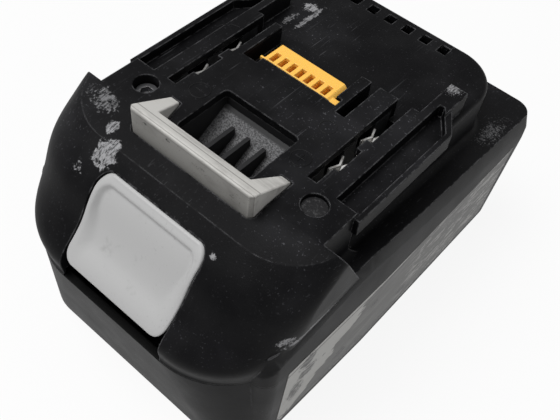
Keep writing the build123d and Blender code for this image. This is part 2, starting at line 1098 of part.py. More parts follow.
def make_case_screws():
    """Two long screws with a hexagon socket and a centre pin."""
    floor = deck_height - screw_recess_depth
    top = floor + screw_head_height
    screw = rod(screw_head_radius, screw_half_spacing, screw_place, floor, top)
    screw += rod(
        screw_shank_radius, screw_half_spacing, screw_place, floor - screw_length, floor
    )
    face = RegularPolygon(screw_socket_radius, 6)
    socket = extrude(
        Pos(screw_half_spacing, screw_place, top - screw_socket_depth) * face,
        screw_socket_depth + overrun,
        dir=(0, 0, 1),
    )
    socket -= rod(
        screw_pin_radius,
        screw_half_spacing,
        screw_place,
        top - screw_socket_depth,
        top - screw_pin_radius,
    )
    screw -= socket
    return Compound(children=[screw.solid(), mirror(screw, about=Plane.YZ).solid()])


def make_screw_plug():
    """Round plug over the right-hand screw."""
    low = deck_height - screw_recess_depth + screw_head_height
    return rod(
        screw_recess_radius - seat_gap / 2,
        screw_half_spacing,
        screw_place,
        low,
        deck_height - plug_recess,
    )


def make_air_guide():
    """Sloping air duct under the well, with three upright fins."""
    half = well_half + guide_wall
    front = well_front - guide_wall + seat_gap
    rear = well_rear + guide_wall
    low_front = guide_floor_front
    low_rear = guide_floor_rear
    shell = side_prism(
        [
            (rear, deck_under),
            (front, deck_under),
            (front, low_front - guide_wall),
            (rear, low_rear - guide_wall),
        ],
        -half,
        half,
    )
    channel = side_prism(
        [
            (well_rear, deck_under + overrun),
            (front - overrun, deck_under + overrun),
            (front - overrun, low_front),
            (well_rear, low_rear),
        ],
        -well_half,
        well_half,
    )
    guide = shell - channel
    fall = (low_rear - low_front) / (well_rear - front + overrun)
    fin_rear = well_rear - fin_rear_gap
    fin_front = front + fin_front_gap
    rear_floor = low_rear - fall * fin_rear_gap - guide_wall / 2
    front_floor = low_front - guide_wall / 2
    start = -fin_pitch * (fin_count - 1) / 2
    for index in range(fin_count):
        x = start + index * fin_pitch
        guide += side_prism(
            [
                (fin_rear, fin_top),
                (fin_front, fin_top),
                (fin_front, front_floor),
                (fin_rear, rear_floor),
            ],
            x - fin_thickness / 2,
            x + fin_thickness / 2,
        )
    return guide


def make_terminal_holder():
    """Base plate on the board with a walled channel under each deck slot."""
    base_top = board_top + holder_base_thickness
    front = slot_front + tower_front_gap
    rear = deck_rear - wall - seat_gap
    outer = tower_outer
    top = deck_under - tower_top_gap
    holder = block(-outer, outer, front, rear, board_top, base_top)
    holder -= block(
        connector_left - seat_gap,
        connector_right + seat_gap,
        connector_front - seat_gap,
        connector_rear + seat_gap,
        board_top - overrun,
        base_top + overrun,
    )
    tower = block(slot_inner - tower_wall, outer, front, rear, board_top, top)
    tower -= block(
        slot_inner,
        slot_inner + slot_width,
        front + tower_wall,
        rear + overrun,
        base_top,
        top + overrun,
    )
    for place in (contact_front_place, contact_rear_place):
        tower -= block(
            slot_inner - tower_wall - overrun,
            outer + overrun,
            place - tower_window_length / 2,
            place + tower_window_length / 2,
            top - tower_window_height,
            top + overrun,
        )
    holder += both_sides(tower)
    holder -= both_sides(terminal_pins(board_top - overrun, base_top + overrun, seat_gap))
    return holder


def terminal_pins(low, high, gap):
    """Square pins under one terminal."""
    half = terminal_pin_size / 2 + gap
    pins = Part()
    for place in (contact_front_place, contact_rear_place):
        pins += block(
            slot_middle - half, slot_middle + half, place - half, place + half, low, high
        )
    return pins


def contact_leaf(place):
    """One upright leaf of a contact, bent so that its middle nips and its two ends flare."""
    low = board_top + holder_base_thickness + terminal_base_thickness
    top = deck_height - contact_top_drop
    nip = slot_middle - contact_pinch_gap / 2
    end = slot_middle - contact_flare
    reach = contact_length / 2
    points = [
        (nip, place),
        (end, place + reach),
        (end - contact_thickness, place + reach),
        (nip - contact_thickness, place),
        (end - contact_thickness, place - reach),
        (end, place - reach),
    ]
    return plan_prism(points, low, top)


def make_terminal(side):
    """Forked power terminal with two pairs of leaves, a base bar and two pins."""
    low = board_top + holder_base_thickness
    high = low + terminal_base_thickness
    base = block(
        slot_inner + seat_gap,
        slot_inner + slot_width - seat_gap,
        contact_front_place - terminal_end_length,
        contact_rear_place + terminal_end_length,
        low,
        high,
    )
    for place in (contact_front_place, contact_rear_place):
        leaf = contact_leaf(place)
        twin = Pos(2 * slot_middle, 0, 0) * mirror(leaf, about=Plane.YZ)
        base += leaf
        base += twin
    base += terminal_pins(board_under, low, 0)
    if side < 0:
        return mirror(base, about=Plane.YZ)
    return base


def way_place(index):
    """Place across the pack of one way of the signal connector."""
    return connector_left + connector_end_margin + index * connector_pitch


def make_signal_connector():
    """Signal socket with a row of windows on top and a row of slots at the rear."""
    body = block(
        connector_left, connector_right, connector_front, connector_rear, board_top, connector_top
    )
    edge = body.edges().group_by(Axis.Z)[-1].sort_by(Axis.X)[-1]
    body = chamfer(edge, connector_chamfer)
    tab_front = connector_front - connector_tab_lead
    tab_top_height = connector_top - connector_tab_drop
    body += block(
        connector_right - overrun,
        connector_right + connector_tab_width,
        tab_front,
        tab_front + connector_tab_length,
        tab_top_height - connector_tab_height,
        tab_top_height,
    )
    body += block(
        connector_left - connector_tip_width,
        connector_left + overrun,
        tab_front,
        tab_front + connector_tip_length,
        connector_top - connector_tab_height,
        connector_top,
    )
    window_front = connector_front + connector_window_edge
    slot_low = connector_top - connector_slot_drop
    for index in range(connector_way_count):
        x = way_place(index)
        body -= block(
            x - connector_window_width / 2,
            x + connector_window_width / 2,
            window_front,
            window_front + connector_window_length,
            connector_top - connector_window_depth,
            connector_top + overrun,
        )
        body -= block(
            x - connector_slot_width / 2,
            x + connector_slot_width / 2,
            window_front,
            connector_rear + overrun,
            slot_low,
            slot_low + connector_slot_height,
        )
    return body


def make_signal_contacts():
    """Seven pairs of thin blades joined at the foot, one pair in each way."""
    window_front = connector_front + connector_window_edge
    low = connector_top - connector_window_depth
    high = low + connector_window_length
    outer = contact_blade_gap / 2 + contact_blade_thickness
    pieces = []
    for index in range(connector_way_count):
        x = way_place(index)
        start = window_front + seat_gap
        fork = block(x - outer, x + outer, start, start + contact_blade_length, low, high)
        fork -= block(
            x - contact_blade_gap / 2,
            x + contact_blade_gap / 2,
            start - overrun,
            start + contact_blade_length + overrun,
            low + contact_blade_length,
            high + overrun,
        )
        pieces.append(fork.solid())
    return Compound(children=pieces)


def make_circuit_board():
    """Board with holes for the terminal pins."""
    board = block(
        -board_half,
        board_half,
        tray_front + board_inset,
        tray_rear - board_inset,
        board_under,
        board_top,
    )
    board -= both_sides(terminal_pins(board_under - overrun, board_top + overrun, seat_gap))
    return board


def make_control_chip():
    """Flat square chip on the rear of the board."""
    half = chip_size / 2
    return block(
        -half, half, chip_place - half, chip_place + half, board_top, board_top + chip_thickness
    )


def make_power_transistor():
    """Flat power switch near the rear edge of the board."""
    half = transistor_width / 2
    reach = transistor_length / 2
    return block(
        -half,
        half,
        transistor_place - reach,
        transistor_place + reach,
        board_top,
        board_top + transistor_thickness,
    )


def make_board_tray():
    """Tray that rests on the cell holders and carries the board on two long ribs."""
    low = holder_top
    tray = block(-tray_half, tray_half, tray_front, tray_rear, low, low + tray_thickness)
    rib_outer = board_half - board_inset
    rib = block(rib_outer - tray_rib_width, rib_outer, tray_front, tray_rear, low, board_under)
    tray += both_sides(rib)
    tray += block(
        -rib_outer, rib_outer, tray_rear - tray_rib_width, tray_rear, low, board_under
    )
    bead = thermistor_place()
    tray -= rod(
        thermistor_lead_radius + slide_gap, 0, bead, low - overrun, low + tray_thickness + overrun
    )
    return tray


def make_cell_holder(side):
    """End frame with ten bores that holds one end of every cell."""
    front = column_place(0) - cell_radius - holder_edge
    rear = column_place(column_count - 1) + cell_radius + holder_edge
    frame = block(holder_inner, holder_outer, front, rear, holder_low, holder_top)
    frame -= side_prism(
        [
            (rear + overrun, holder_top - holder_chamfer - overrun),
            (rear - holder_chamfer - overrun, holder_top + overrun),
            (rear + overrun, holder_top + overrun),
        ],
        holder_inner - overrun,
        holder_outer + overrun,
    )
    for index in range(column_count):
        for height in (lower_row, upper_row):
            bore = Cylinder(cell_radius + holder_bore_gap, holder_depth + 2 * overrun)
            middle = (holder_inner + holder_outer) / 2
            frame -= Pos(middle, column_place(index), height) * (Rot(0, 90, 0) * bore)
    if side < 0:
        return mirror(frame, about=Plane.YZ)
    return frame


def make_cell(index, height, end):
    """Round cell lying across the pack, its button end towards the given side."""
    can = cell_length - cell_nub_height
    groove_low = can - cell_groove_place
    groove_high = groove_low + cell_groove_width
    waist = cell_radius - cell_groove_depth
    points = [
        (0, 0),
        (cell_radius, 0),
        (cell_radius, groove_low),
        (waist, groove_low),
        (waist, groove_high),
        (cell_radius, groove_high),
        (cell_radius, can),
        (cell_nub_radius, can),
        (cell_nub_radius, cell_length),
        (0, cell_length),
    ]
    face = Face(Wire.make_polygon([(r, 0, z) for r, z in points]))
    upright = revolve(face, Axis.Z)
    turned = Rot(0, 90 * end, 0) * (Pos(0, 0, -cell_end) * upright)
    return Pos(0, column_place(index), height) * turned


def link_plate(low_index, high_index, tab_index, tab_high):
    """Flat strip welded across the ends of one or two columns of cells, with a tab on top."""
    front = column_place(low_index) - link_margin
    rear = column_place(high_index) + link_margin
    low = lower_row - link_margin
    high = upper_row + link_margin
    sketch = RectangleRounded(rear - front, high - low, link_corner_radius)
    face = Plane.YZ * (Pos((front + rear) / 2, (low + high) / 2) * sketch)
    plate = extrude(Pos(cell_end, 0, 0) * face, link_thickness, dir=(1, 0, 0))
    for index in range(low_index, high_index + 1):
        for height in (lower_row, upper_row):
            plate -= block(
                cell_end - overrun,
                link_outer + overrun,
                column_place(index) - link_slit_width / 2,
                column_place(index) + link_slit_width / 2,
                height - link_slit_length / 2,
                height + link_slit_length / 2,
            )
    tab_place = column_place(tab_index)
    plate += block(
        cell_end,
        link_outer,
        tab_place - link_tab_width / 2,
        tab_place + link_tab_width / 2,
        high - link_corner_radius,
        tab_high,
    )
    return plate


def make_strap(index, front):
    """Flat strap that climbs from a link, runs along the cells and lands on the board's edge."""
    rear = front + strap_width
    half = strap_width / 2
    outer = link_outer + strap_thickness
    place = column_place(index)
    low = holder_top - strap_width
    run_front = min(front, place - half)
    run_rear = max(rear, place + half)
    strap = block(link_outer, outer, place - half, place + half, upper_row, holder_top)
    strap += block(link_outer, outer, run_front, run_rear, low, holder_top)
    top = board_top + strap_thickness
    points = [
        (link_outer, low),
        (outer, low),
        (outer, tab_top + strap_thickness),
        (riser_inner + strap_thickness, tab_top + strap_thickness),
        (riser_inner + strap_thickness, top),
        (landing_inner, top),
        (landing_inner, board_top),
        (riser_inner, board_top),
        (riser_inner, tab_top),
        (link_outer, tab_top),
    ]
    return strap + front_prism(points, front, rear)


def make_sense_lead(index, side):
    """Thin insulated wire from a link's tab, in over the tray and up to the board's edge."""
    place = column_place(index)
    crossing = tab_top + lead_radius
    riser = riser_inner + lead_radius
    landing = board_top + lead_radius
    path = FilletPolyline(
        (link_outer, place, crossing),
        (riser, place, crossing),
        (riser, place, landing),
        (landing_inner, place, landing),
        radius=lead_radius + seat_gap,
    )
    profile = Plane(origin=path @ 0, z_dir=path % 0) * Circle(lead_radius)
    wire = sweep(profile, path=path)
    if side < 0:
        return mirror(wire, about=Plane.YZ)
    return wire


def make_side_pad(side):
    """Insulating pad between the strips and the wall of the lower case."""
    pad = block(
        link_outer,
        link_outer + side_pad_thickness,
        column_place(0) - side_pad_margin,
        column_place(column_count - 1) + side_pad_margin,
        lower_row - side_pad_margin,
        upper_row - overrun,
    )
    if side < 0:
        return mirror(pad, about=Plane.YZ)
    return pad


def make_bottom_pad():
    """Foam sheet on the floor of the lower case, between the two cell holders."""
    half = holder_inner - seat_gap
    pad = block(
        -half,
        half,
        column_place(0) - side_pad_margin,
        column_place(column_count - 1) + side_pad_margin,
        wall,
        wall + pad_thickness,
    )
    pad -= both_sides(
        rod(post_radius + slide_gap, screw_half_spacing, screw_place, 0, parting_height)
    )
    return pad


def thermistor_place():
    """Place along the pack of the valley between the second and third columns."""
    return (column_place(1) + column_place(2)) / 2


def make_thermistor():
    """Bead in the valley between two upper cells, with its lead up to the board."""
    reach = cell_radius + thermistor_radius
    across = column_pitch / 2
    height = upper_row + sqrt(reach * reach - across * across)
    bead = Rot(0, 90, 0) * Cylinder(thermistor_radius, thermistor_length)
    bead = Pos(0, thermistor_place(), height) * bead
    return bead + rod(thermistor_lead_radius, 0, thermistor_place(), height, board_under)


def make_side_label(side):
    """Thin bare label that lies on the tapered side of the lower case."""
    front = body_front + label_front_gap
    rear = half_length - label_rear_gap
    grown = lower_body(-label_thickness, 0)
    window = block(
        0, half_width + overrun, front, rear, label_low, label_low + label_height
    )
    label = (grown & window) - lower_body(0, 0)
    if side < 0:
        return mirror(label, about=Plane.YZ)
    return label


def save(name, piece):
    """Write one node to its own file."""
    export_step(piece, f"parts/{name}.step")


def main():
    os.makedirs("parts", exist_ok=True)
    save("lower_case", make_lower_case())
    save("upper_case", make_upper_case())
    save("release_button", make_release_button())
    save("latch_hook", make_latch_hook())
    save("case_screws", make_case_screws())
    save("screw_plug", make_screw_plug())
    save("air_guide", make_air_guide())
    save("terminal_holder", make_terminal_holder())
    save("signal_connector", make_signal_connector())
    save("signal_contacts", make_signal_contacts())
    save("circuit_board", make_circuit_board())
    save("control_chip", make_control_chip())
    save("power_transistor", make_power_transistor())
    save("board_tray", make_board_tray())
    save("bottom_pad", make_bottom_pad())
    save("thermistor", make_thermistor())
    rear_landing = (column_place(2) + column_place(3) - strap_width) / 2
    save("positive_strap", make_strap(column_count - 1, rear_landing))
    front_landing = tray_front + board_inset + strap_end_gap
    save("negative_strap", mirror(make_strap(0, front_landing), about=Plane.YZ))
    for side, hand in ((-1, "left"), (1, "right")):
        save(f"latch_spring_{hand}", make_latch_spring(side))
        save(f"cell_holder_{hand}", make_cell_holder(side))
        save(f"side_pad_{hand}", make_side_pad(side))
        save(f"side_label_{hand}", make_side_label(side))
    save("positive_terminal", make_terminal(1))
    save("negative_terminal", make_terminal(-1))
    for index in range(column_count):
        end = 1 if index % 2 == 0 else -1
        save(f"lower_cell_{index + 1}", make_cell(index, lower_row, end))
        save(f"upper_cell_{index + 1}", make_cell(index, upper_row, end))
    save("right_front_link", link_plate(0, 1, 1, tab_top))
    save("right_rear_link", link_plate(2, 3, 3, tab_top))
    save("positive_end_link", link_plate(4, 4, 4, holder_top))
    save("left_front_link", mirror(link_plate(1, 2, 2, tab_top), about=Plane.YZ))
    save("left_rear_link", mirror(link_plate(3, 4, 3, tab_top), about=Plane.YZ))
    save("negative_end_link", mirror(link_plate(0, 0, 0, holder_top), about=Plane.YZ))
    save("right_front_lead", make_sense_lead(1, 1))
    save("right_rear_lead", make_sense_lead(3, 1))
    save("left_front_lead", make_sense_lead(2, -1))
    save("left_rear_lead", make_sense_lead(3, -1))


main()
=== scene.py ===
import bpy
import bmesh
from math import radians, cos, sin
from mathutils import Matrix, Vector
from mathutils.bvhtree import BVHTree


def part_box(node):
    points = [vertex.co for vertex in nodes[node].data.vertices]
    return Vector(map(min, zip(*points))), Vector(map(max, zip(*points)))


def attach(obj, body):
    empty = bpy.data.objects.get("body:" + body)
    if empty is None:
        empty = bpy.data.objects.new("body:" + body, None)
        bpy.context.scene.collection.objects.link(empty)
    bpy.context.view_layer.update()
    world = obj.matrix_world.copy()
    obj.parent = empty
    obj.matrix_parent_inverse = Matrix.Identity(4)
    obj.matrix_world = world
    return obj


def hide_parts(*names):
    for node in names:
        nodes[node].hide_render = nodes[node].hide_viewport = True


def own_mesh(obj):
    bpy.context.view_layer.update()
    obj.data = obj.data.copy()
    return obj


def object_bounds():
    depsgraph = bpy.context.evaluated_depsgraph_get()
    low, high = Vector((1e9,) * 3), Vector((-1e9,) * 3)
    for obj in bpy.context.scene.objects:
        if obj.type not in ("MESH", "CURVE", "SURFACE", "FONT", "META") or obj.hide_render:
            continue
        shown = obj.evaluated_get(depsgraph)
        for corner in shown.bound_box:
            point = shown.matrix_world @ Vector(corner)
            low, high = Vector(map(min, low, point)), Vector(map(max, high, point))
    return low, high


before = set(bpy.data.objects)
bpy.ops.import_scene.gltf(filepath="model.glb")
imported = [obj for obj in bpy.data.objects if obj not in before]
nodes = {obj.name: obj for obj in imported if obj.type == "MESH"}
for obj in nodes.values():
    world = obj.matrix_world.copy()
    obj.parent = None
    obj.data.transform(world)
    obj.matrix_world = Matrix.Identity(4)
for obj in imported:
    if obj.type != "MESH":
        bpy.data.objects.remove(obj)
cad_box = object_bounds()

# The table the pack stands on: a plain white sweep of board in a white room.
# It shows near white to the eye, to glass and to shiny metal, and still takes the pack's shadow.
table_half = 1.6
table_white = (0.80, 0.80, 0.80, 1)
table_roughness = 0.7
table_whiteness_seen = 0.9
backdrop_white = (1.0, 1.0, 1.0, 1)


def calc(tree, operation, first, second=None, clamp=False):
    made = tree.nodes.new("ShaderNodeMath")
    made.operation = operation
    made.use_clamp = clamp
    for place, value in enumerate((first, second)):
        if value is None:
            continue
        if isinstance(value, (int, float)):
            made.inputs[place].default_value = value
        else:
            tree.links.new(value, made.inputs[place])
    return made.outputs[0]


def white_seen(tree, share_in_gloss):
    ray = tree.nodes.new("ShaderNodeLightPath")
    seen = calc(
        tree, "MAXIMUM", ray.outputs["Is Camera Ray"], ray.outputs["Is Transmission Ray"]
    )
    in_gloss = calc(tree, "MULTIPLY", ray.outputs["Is Glossy Ray"], share_in_gloss)
    return calc(tree, "MAXIMUM", seen, in_gloss)


def put_in_scene(name, data):
    made = bpy.data.objects.new(name, data)
    bpy.context.scene.collection.objects.link(made)
    return made


def mix_shaders(tree, share, below, above, outlet):
    pick = tree.nodes.new("ShaderNodeMixShader")
    tree.links.new(share, pick.inputs[0])
    tree.links.new(below.outputs[0], pick.inputs[1])
    tree.links.new(above.outputs[0], pick.inputs[2])
    tree.links.new(pick.outputs[0], outlet.inputs["Surface"])


table_mesh = bpy.data.meshes.new("table_top")
table_mesh.from_pydata(
    [(-table_half, -table_half, 0), (table_half, -table_half, 0),
     (table_half, table_half, 0), (-table_half, table_half, 0)],
    [],
    [(0, 1, 2, 3)],
)
table_top = put_in_scene("table_top", table_mesh)
board = bpy.data.materials.new("white_board")
board.use_nodes = True
tree = board.node_tree
matt = tree.nodes["Principled BSDF"]
matt.inputs["Base Color"].default_value = table_white
matt.inputs["Roughness"].default_value = table_roughness
glow = tree.nodes.new("ShaderNodeEmission")
glow.inputs["Color"].default_value = backdrop_white
share = calc(tree, "MULTIPLY", white_seen(tree, 1.0), table_whiteness_seen)
mix_shaders(tree, share, matt, glow, tree.nodes["Material Output"])
table_mesh.materials.append(board)

# The white room round the table: the eye sees it as pure white, and its light on the pack
# is soft and plain. Only part of the white shows in a gloss, which keeps the black case black.
room_light = 0.25
room_share_in_gloss = 0.25

world = bpy.data.worlds.new("white_room")
world.use_nodes = True
bpy.context.scene.world = world
tree = world.node_tree
tree.nodes.clear()
walls = []
for strength in (room_light, 1.0):
    wall = tree.nodes.new("ShaderNodeBackground")
    wall.inputs["Color"].default_value = backdrop_white
    wall.inputs["Strength"].default_value = strength
    walls.append(wall)
outlet = tree.nodes.new("ShaderNodeOutputWorld")
mix_shaders(tree, white_seen(tree, room_share_in_gloss), walls[0], walls[1], outlet)
bpy.context.scene.view_settings.view_transform = "Standard"

# The camera stands above the pack's right front corner, close by, and is rolled a little.
# Its lens matches the photograph's frame, whose middle lies above and right of the lens axis.
camera_place = Vector((0.0689, -0.1006, 0.1717))
camera_azimuth = 35.39
camera_elevation = 54.07
camera_roll = 7.37
lens_pixels = 728
frame_pixels = 560
axis_right_pixels = 10.2
axis_up_pixels = 29.4

camera_data = bpy.data.cameras.new("camera")
camera_data.sensor_width = 36
camera_data.lens = lens_pixels / frame_pixels * camera_data.sensor_width
camera_data.shift_x = axis_right_pixels / frame_pixels
camera_data.shift_y = axis_up_pixels / frame_pixels
camera_data.clip_start = 0.01
camera = put_in_scene("camera", camera_data)
camera.matrix_world = (
    Matrix.Translation(camera_place)
    @ Matrix.Rotation(radians(camera_azimuth), 4, "Z")
    @ Matrix.Rotation(radians(90 - camera_elevation), 4, "X")
    @ Matrix.Rotation(radians(camera_roll), 4, "Z")
)
bpy.context.scene.camera = camera

# Two square soft boxes: a weak one low at the right lights the pack's side, and one high
# above, a little to the front and left, lights the hook's top and the button.
lamp_target = Vector((0, 0, 0.03))
lamp_side = 0.7
lamps = [
    ("side_box", Vector((0.9, 0.1, 0.35)), 0.9),
    ("high_box", Vector((-0.35, -0.30, 1.15)), 13),
]
for name, place, power in lamps:
    data = bpy.data.lights.new(name, "AREA")
    data.size = lamp_side
    data.energy = power
    lamp = put_in_scene(name, data)
    lamp.location = place
    lamp.rotation_euler = (lamp_target - place).to_track_quat("-Z", "Y").to_euler()


# Upper and lower shell: two halves injection-moulded in near-black nylon filled with glass,
# matte, with a fine grain. Years of use have scratched them, rubbed their edges pale,
# left dust in the low places and torn a whitish scuff in the head's left corner.
def shader_group(name, inputs, outputs):
    group = bpy.data.node_groups.new(name, "ShaderNodeTree")
    for label, kind, value in inputs:
        socket = group.interface.new_socket(label, in_out="INPUT", socket_type=kind)
        socket.default_value = value
    for label, kind in outputs:
        group.interface.new_socket(label, in_out="OUTPUT", socket_type=kind)
    return group, group.nodes.new("NodeGroupInput"), group.nodes.new("NodeGroupOutput")


def add(tree, kind, operation=None, **values):
    made = tree.nodes.new(kind)
    if operation:
        made.operation = operation
    for label, value in values.items():
        made.inputs[label.replace("_", " ")].default_value = value
    return made


def noise(tree, vector, scale, detail=3.0, rough=0.5):
    made = add(tree, "ShaderNodeTexNoise", Detail=detail, Roughness=rough)
    tree.links.new(vector, made.inputs["Vector"])
    if isinstance(scale, (int, float)):
        made.inputs["Scale"].default_value = scale
    else:
        tree.links.new(scale, made.inputs["Scale"])
    return made.outputs["Fac"]


def ramp(tree, value, low, high):
    made = tree.nodes.new("ShaderNodeMapRange")
    made.interpolation_type = "SMOOTHSTEP"
    tree.links.new(value, made.inputs["Value"])
    for label, end in (("From Min", low), ("From Max", high)):
        if isinstance(end, (int, float)):
            made.inputs[label].default_value = end
        else:
            tree.links.new(end, made.inputs[label])
    return made.outputs["Result"]


def along_axes(tree, what):
    if what == "place":
        source = tree.nodes.new("ShaderNodeTexCoord").outputs["Object"]
    else:
        source = tree.nodes.new("ShaderNodeNewGeometry").outputs["Normal"]
    split = tree.nodes.new("ShaderNodeSeparateXYZ")
    tree.links.new(source, split.inputs[0])
    return split.outputs


def object_place(tree, turn=(0, 0, 0), stretch=(1, 1, 1)):
    coord = tree.nodes.new("ShaderNodeTexCoord")
    mapping = tree.nodes.new("ShaderNodeMapping")
    mapping.inputs["Rotation"].default_value = turn
    mapping.inputs["Scale"].default_value = stretch
    tree.links.new(coord.outputs["Object"], mapping.inputs["Vector"])
    return mapping.outputs["Vector"]


# Fine pits of a moulded surface.
grain_group, grain_in, grain_out = shader_group(
    "moulded_grain",
    [("Pits Per Metre", "NodeSocketFloat", 2200.0)],
    [("Height", "NodeSocketFloat"), ("Mottle", "NodeSocketFloat")],
)
tree = grain_group
pits = noise(tree, object_place(tree), grain_in.outputs["Pits Per Metre"], detail=2.0, rough=0.6)
tree.links.new(pits, grain_out.inputs["Height"])
mottle = noise(tree, object_place(tree), 90.0, detail=4.0, rough=0.6)
tree.links.new(mottle, grain_out.inputs["Mottle"])

# Thin scratches in three directions, broken up so that they come in flurries.
scratch_group, scratch_in, scratch_out = shader_group(
    "fine_scratches",
    [("Amount", "NodeSocketFloat", 0.5)],
    [("Mask", "NodeSocketFloat")],
)
tree = scratch_group
mask = None
for turn, across, along in (
    ((0.2, 0.1, 0.5), 1900.0, 70.0),
    ((0.1, 0.3, 2.3), 2300.0, 110.0),
    ((0.3, 0.2, 1.2), 2100.0, 50.0),
):
    stretch = (across, along, across)
    streak = noise(tree, object_place(tree, turn, stretch), 1.0, detail=2.0, rough=0.4)
    line = ramp(tree, streak, 0.69, 0.77)
    mask = line if mask is None else calc(tree, "MAXIMUM", mask, line)
flurry = ramp(tree, noise(tree, object_place(tree), 55.0, detail=2.0), 0.42, 0.66)
mask = calc(tree, "MULTIPLY", mask, flurry)
mask = calc(tree, "MULTIPLY", mask, scratch_in.outputs["Amount"], True)
tree.links.new(mask, scratch_out.inputs["Mask"])

# Pale dust in specks and faint clouds, mostly on what faces up.
dust_group, dust_in, dust_out = shader_group(
    "settled_dust",
    [("Amount", "NodeSocketFloat", 0.5), ("Specks Per Metre", "NodeSocketFloat", 1500.0)],
    [("Mask", "NodeSocketFloat")],
)
speck_between_clouds = 0.25
cloud_haze = 0.12
tree = dust_group
place = object_place(tree)
cloud = ramp(tree, noise(tree, place, 40.0, detail=3.0, rough=0.6), 0.45, 0.75)
speck = noise(tree, place, dust_in.outputs["Specks Per Metre"], detail=2.0, rough=0.7)
speck = ramp(tree, speck, 0.62, 0.76)
upward = ramp(tree, along_axes(tree, "facing")["Z"], 0.2, 0.95)
mask = calc(tree, "MULTIPLY", speck, calc(tree, "ADD", cloud, speck_between_clouds))
mask = calc(tree, "ADD", mask, calc(tree, "MULTIPLY", cloud, cloud_haze))
mask = calc(tree, "MULTIPLY", mask, upward)
mask = calc(tree, "MULTIPLY", mask, dust_in.outputs["Amount"], True)
tree.links.new(mask, dust_out.inputs["Mask"])

# Edges rubbed pale: found by rounding the surface a little and seeing where it turns.
edge_group, edge_in, edge_out = shader_group(
    "rubbed_edges",
    [("Width", "NodeSocketFloat", 0.0004), ("Amount", "NodeSocketFloat", 0.5)],
    [("Mask", "NodeSocketFloat"), ("Normal", "NodeSocketVector")],
)
tree = edge_group
rounded = tree.nodes.new("ShaderNodeBevel")
rounded.samples = 4
tree.links.new(edge_in.outputs["Width"], rounded.inputs["Radius"])
shape = tree.nodes.new("ShaderNodeNewGeometry")
facing = add(tree, "ShaderNodeVectorMath", "DOT_PRODUCT")
tree.links.new(rounded.outputs[0], facing.inputs[0])
tree.links.new(shape.outputs["Normal"], facing.inputs[1])
turned = ramp(tree, calc(tree, "SUBTRACT", 1.0, facing.outputs["Value"]), 0.005, 0.06)
broken = ramp(tree, noise(tree, object_place(tree), 420.0, detail=3.0, rough=0.65), 0.36, 0.60)
mask = calc(tree, "MULTIPLY", turned, broken)
mask = calc(tree, "MULTIPLY", mask, edge_in.outputs["Amount"], True)
tree.links.new(mask, edge_out.inputs["Mask"])
tree.links.new(rounded.outputs[0], edge_out.inputs["Normal"])

# A ragged scuff round one point of the surface.
scuff_group, scuff_in, scuff_out = shader_group(
    "ragged_scuff",
    [
        ("Centre", "NodeSocketVector", (0, 0, 0)),
        ("Reach", "NodeSocketVector", (0.004, 0.004, 0.004)),
        ("Flakes Per Metre", "NodeSocketFloat", 500.0),
        ("Fill", "NodeSocketFloat", 1.0),
        ("Amount", "NodeSocketFloat", 0.8),
    ],
    [("Mask", "NodeSocketFloat")],
)
flake_gain = 2.2
streak_turn = (0.3, 0.2, 0.9)
streak_stretch = (2600.0, 500.0, 1500.0)
tree = scuff_group
place = object_place(tree)
away = add(tree, "ShaderNodeVectorMath", "SUBTRACT")
tree.links.new(place, away.inputs[0])
tree.links.new(scuff_in.outputs["Centre"], away.inputs[1])
shares = add(tree, "ShaderNodeVectorMath", "DIVIDE")
tree.links.new(away.outputs[0], shares.inputs[0])
tree.links.new(scuff_in.outputs["Reach"], shares.inputs[1])
length = add(tree, "ShaderNodeVectorMath", "LENGTH")
tree.links.new(shares.outputs[0], length.inputs[0])
flakes = noise(tree, place, scuff_in.outputs["Flakes Per Metre"], detail=4.0, rough=0.7)
level = calc(tree, "MULTIPLY", flakes, flake_gain)
level = calc(tree, "SUBTRACT", level, length.outputs["Value"])
level = calc(tree, "ADD", level, calc(tree, "SUBTRACT", scuff_in.outputs["Fill"], 1.0))
mask = ramp(tree, level, 0.20, 0.40)
streaks = noise(tree, object_place(tree, streak_turn, streak_stretch), 1.0, detail=3.0, rough=0.7)
mask = calc(tree, "MULTIPLY", mask, ramp(tree, streaks, 0.30, 0.58))
mask = calc(tree, "MULTIPLY", mask, scuff_in.outputs["Amount"], True)
tree.links.new(mask, scuff_out.inputs["Mask"])


def use(tree, group, **values):
    made = tree.nodes.new("ShaderNodeGroup")
    made.node_tree = group
    for label, value in values.items():
        made.inputs[label.replace("_", " ")].default_value = value
    return made


def tint(tree, below, above, mask):
    made = tree.nodes.new("ShaderNodeMix")
    made.data_type = "RGBA"
    for place, value in ((6, below), (7, above)):
        if isinstance(value, tuple):
            made.inputs[place].default_value = value
        else:
            tree.links.new(value, made.inputs[place])
    tree.links.new(mask, made.inputs[0])
    return made.outputs[2]


def marked(tree, marks):
    mask = None
    for centre, reach, flakes, fill, amount in marks:
        spot = use(
            tree, scuff_group, Centre=centre, Reach=reach, Flakes_Per_Metre=flakes, Fill=fill,
            Amount=amount,
        )
        spot = spot.outputs["Mask"]
        mask = spot if mask is None else calc(tree, "MAXIMUM", mask, spot)
    return mask


def new_finish(name, rough, metal=0.0, gloss=0.5):
    finish = bpy.data.materials.new(name)
    finish.use_nodes = True
    shade = finish.node_tree.nodes["Principled BSDF"]
    shade.inputs["Roughness"].default_value = rough
    shade.inputs["Metallic"].default_value = metal
    shade.inputs["Specular IOR Level"].default_value = gloss
    return finish, finish.node_tree, shade


def coat(tree, shade, colour, height, depth, normal=None):
    tree.links.new(colour, shade.inputs["Base Color"])
    bump = tree.nodes.new("ShaderNodeBump")
    bump.inputs["Distance"].default_value = depth
    tree.links.new(height, bump.inputs["Height"])
    if normal is not None:
        tree.links.new(normal, bump.inputs["Normal"])
    tree.links.new(bump.outputs[0], shade.inputs["Normal"])


def dress(finish, *names):
    for name in names:
        for place in nodes[name].material_slots:
            place.material = finish


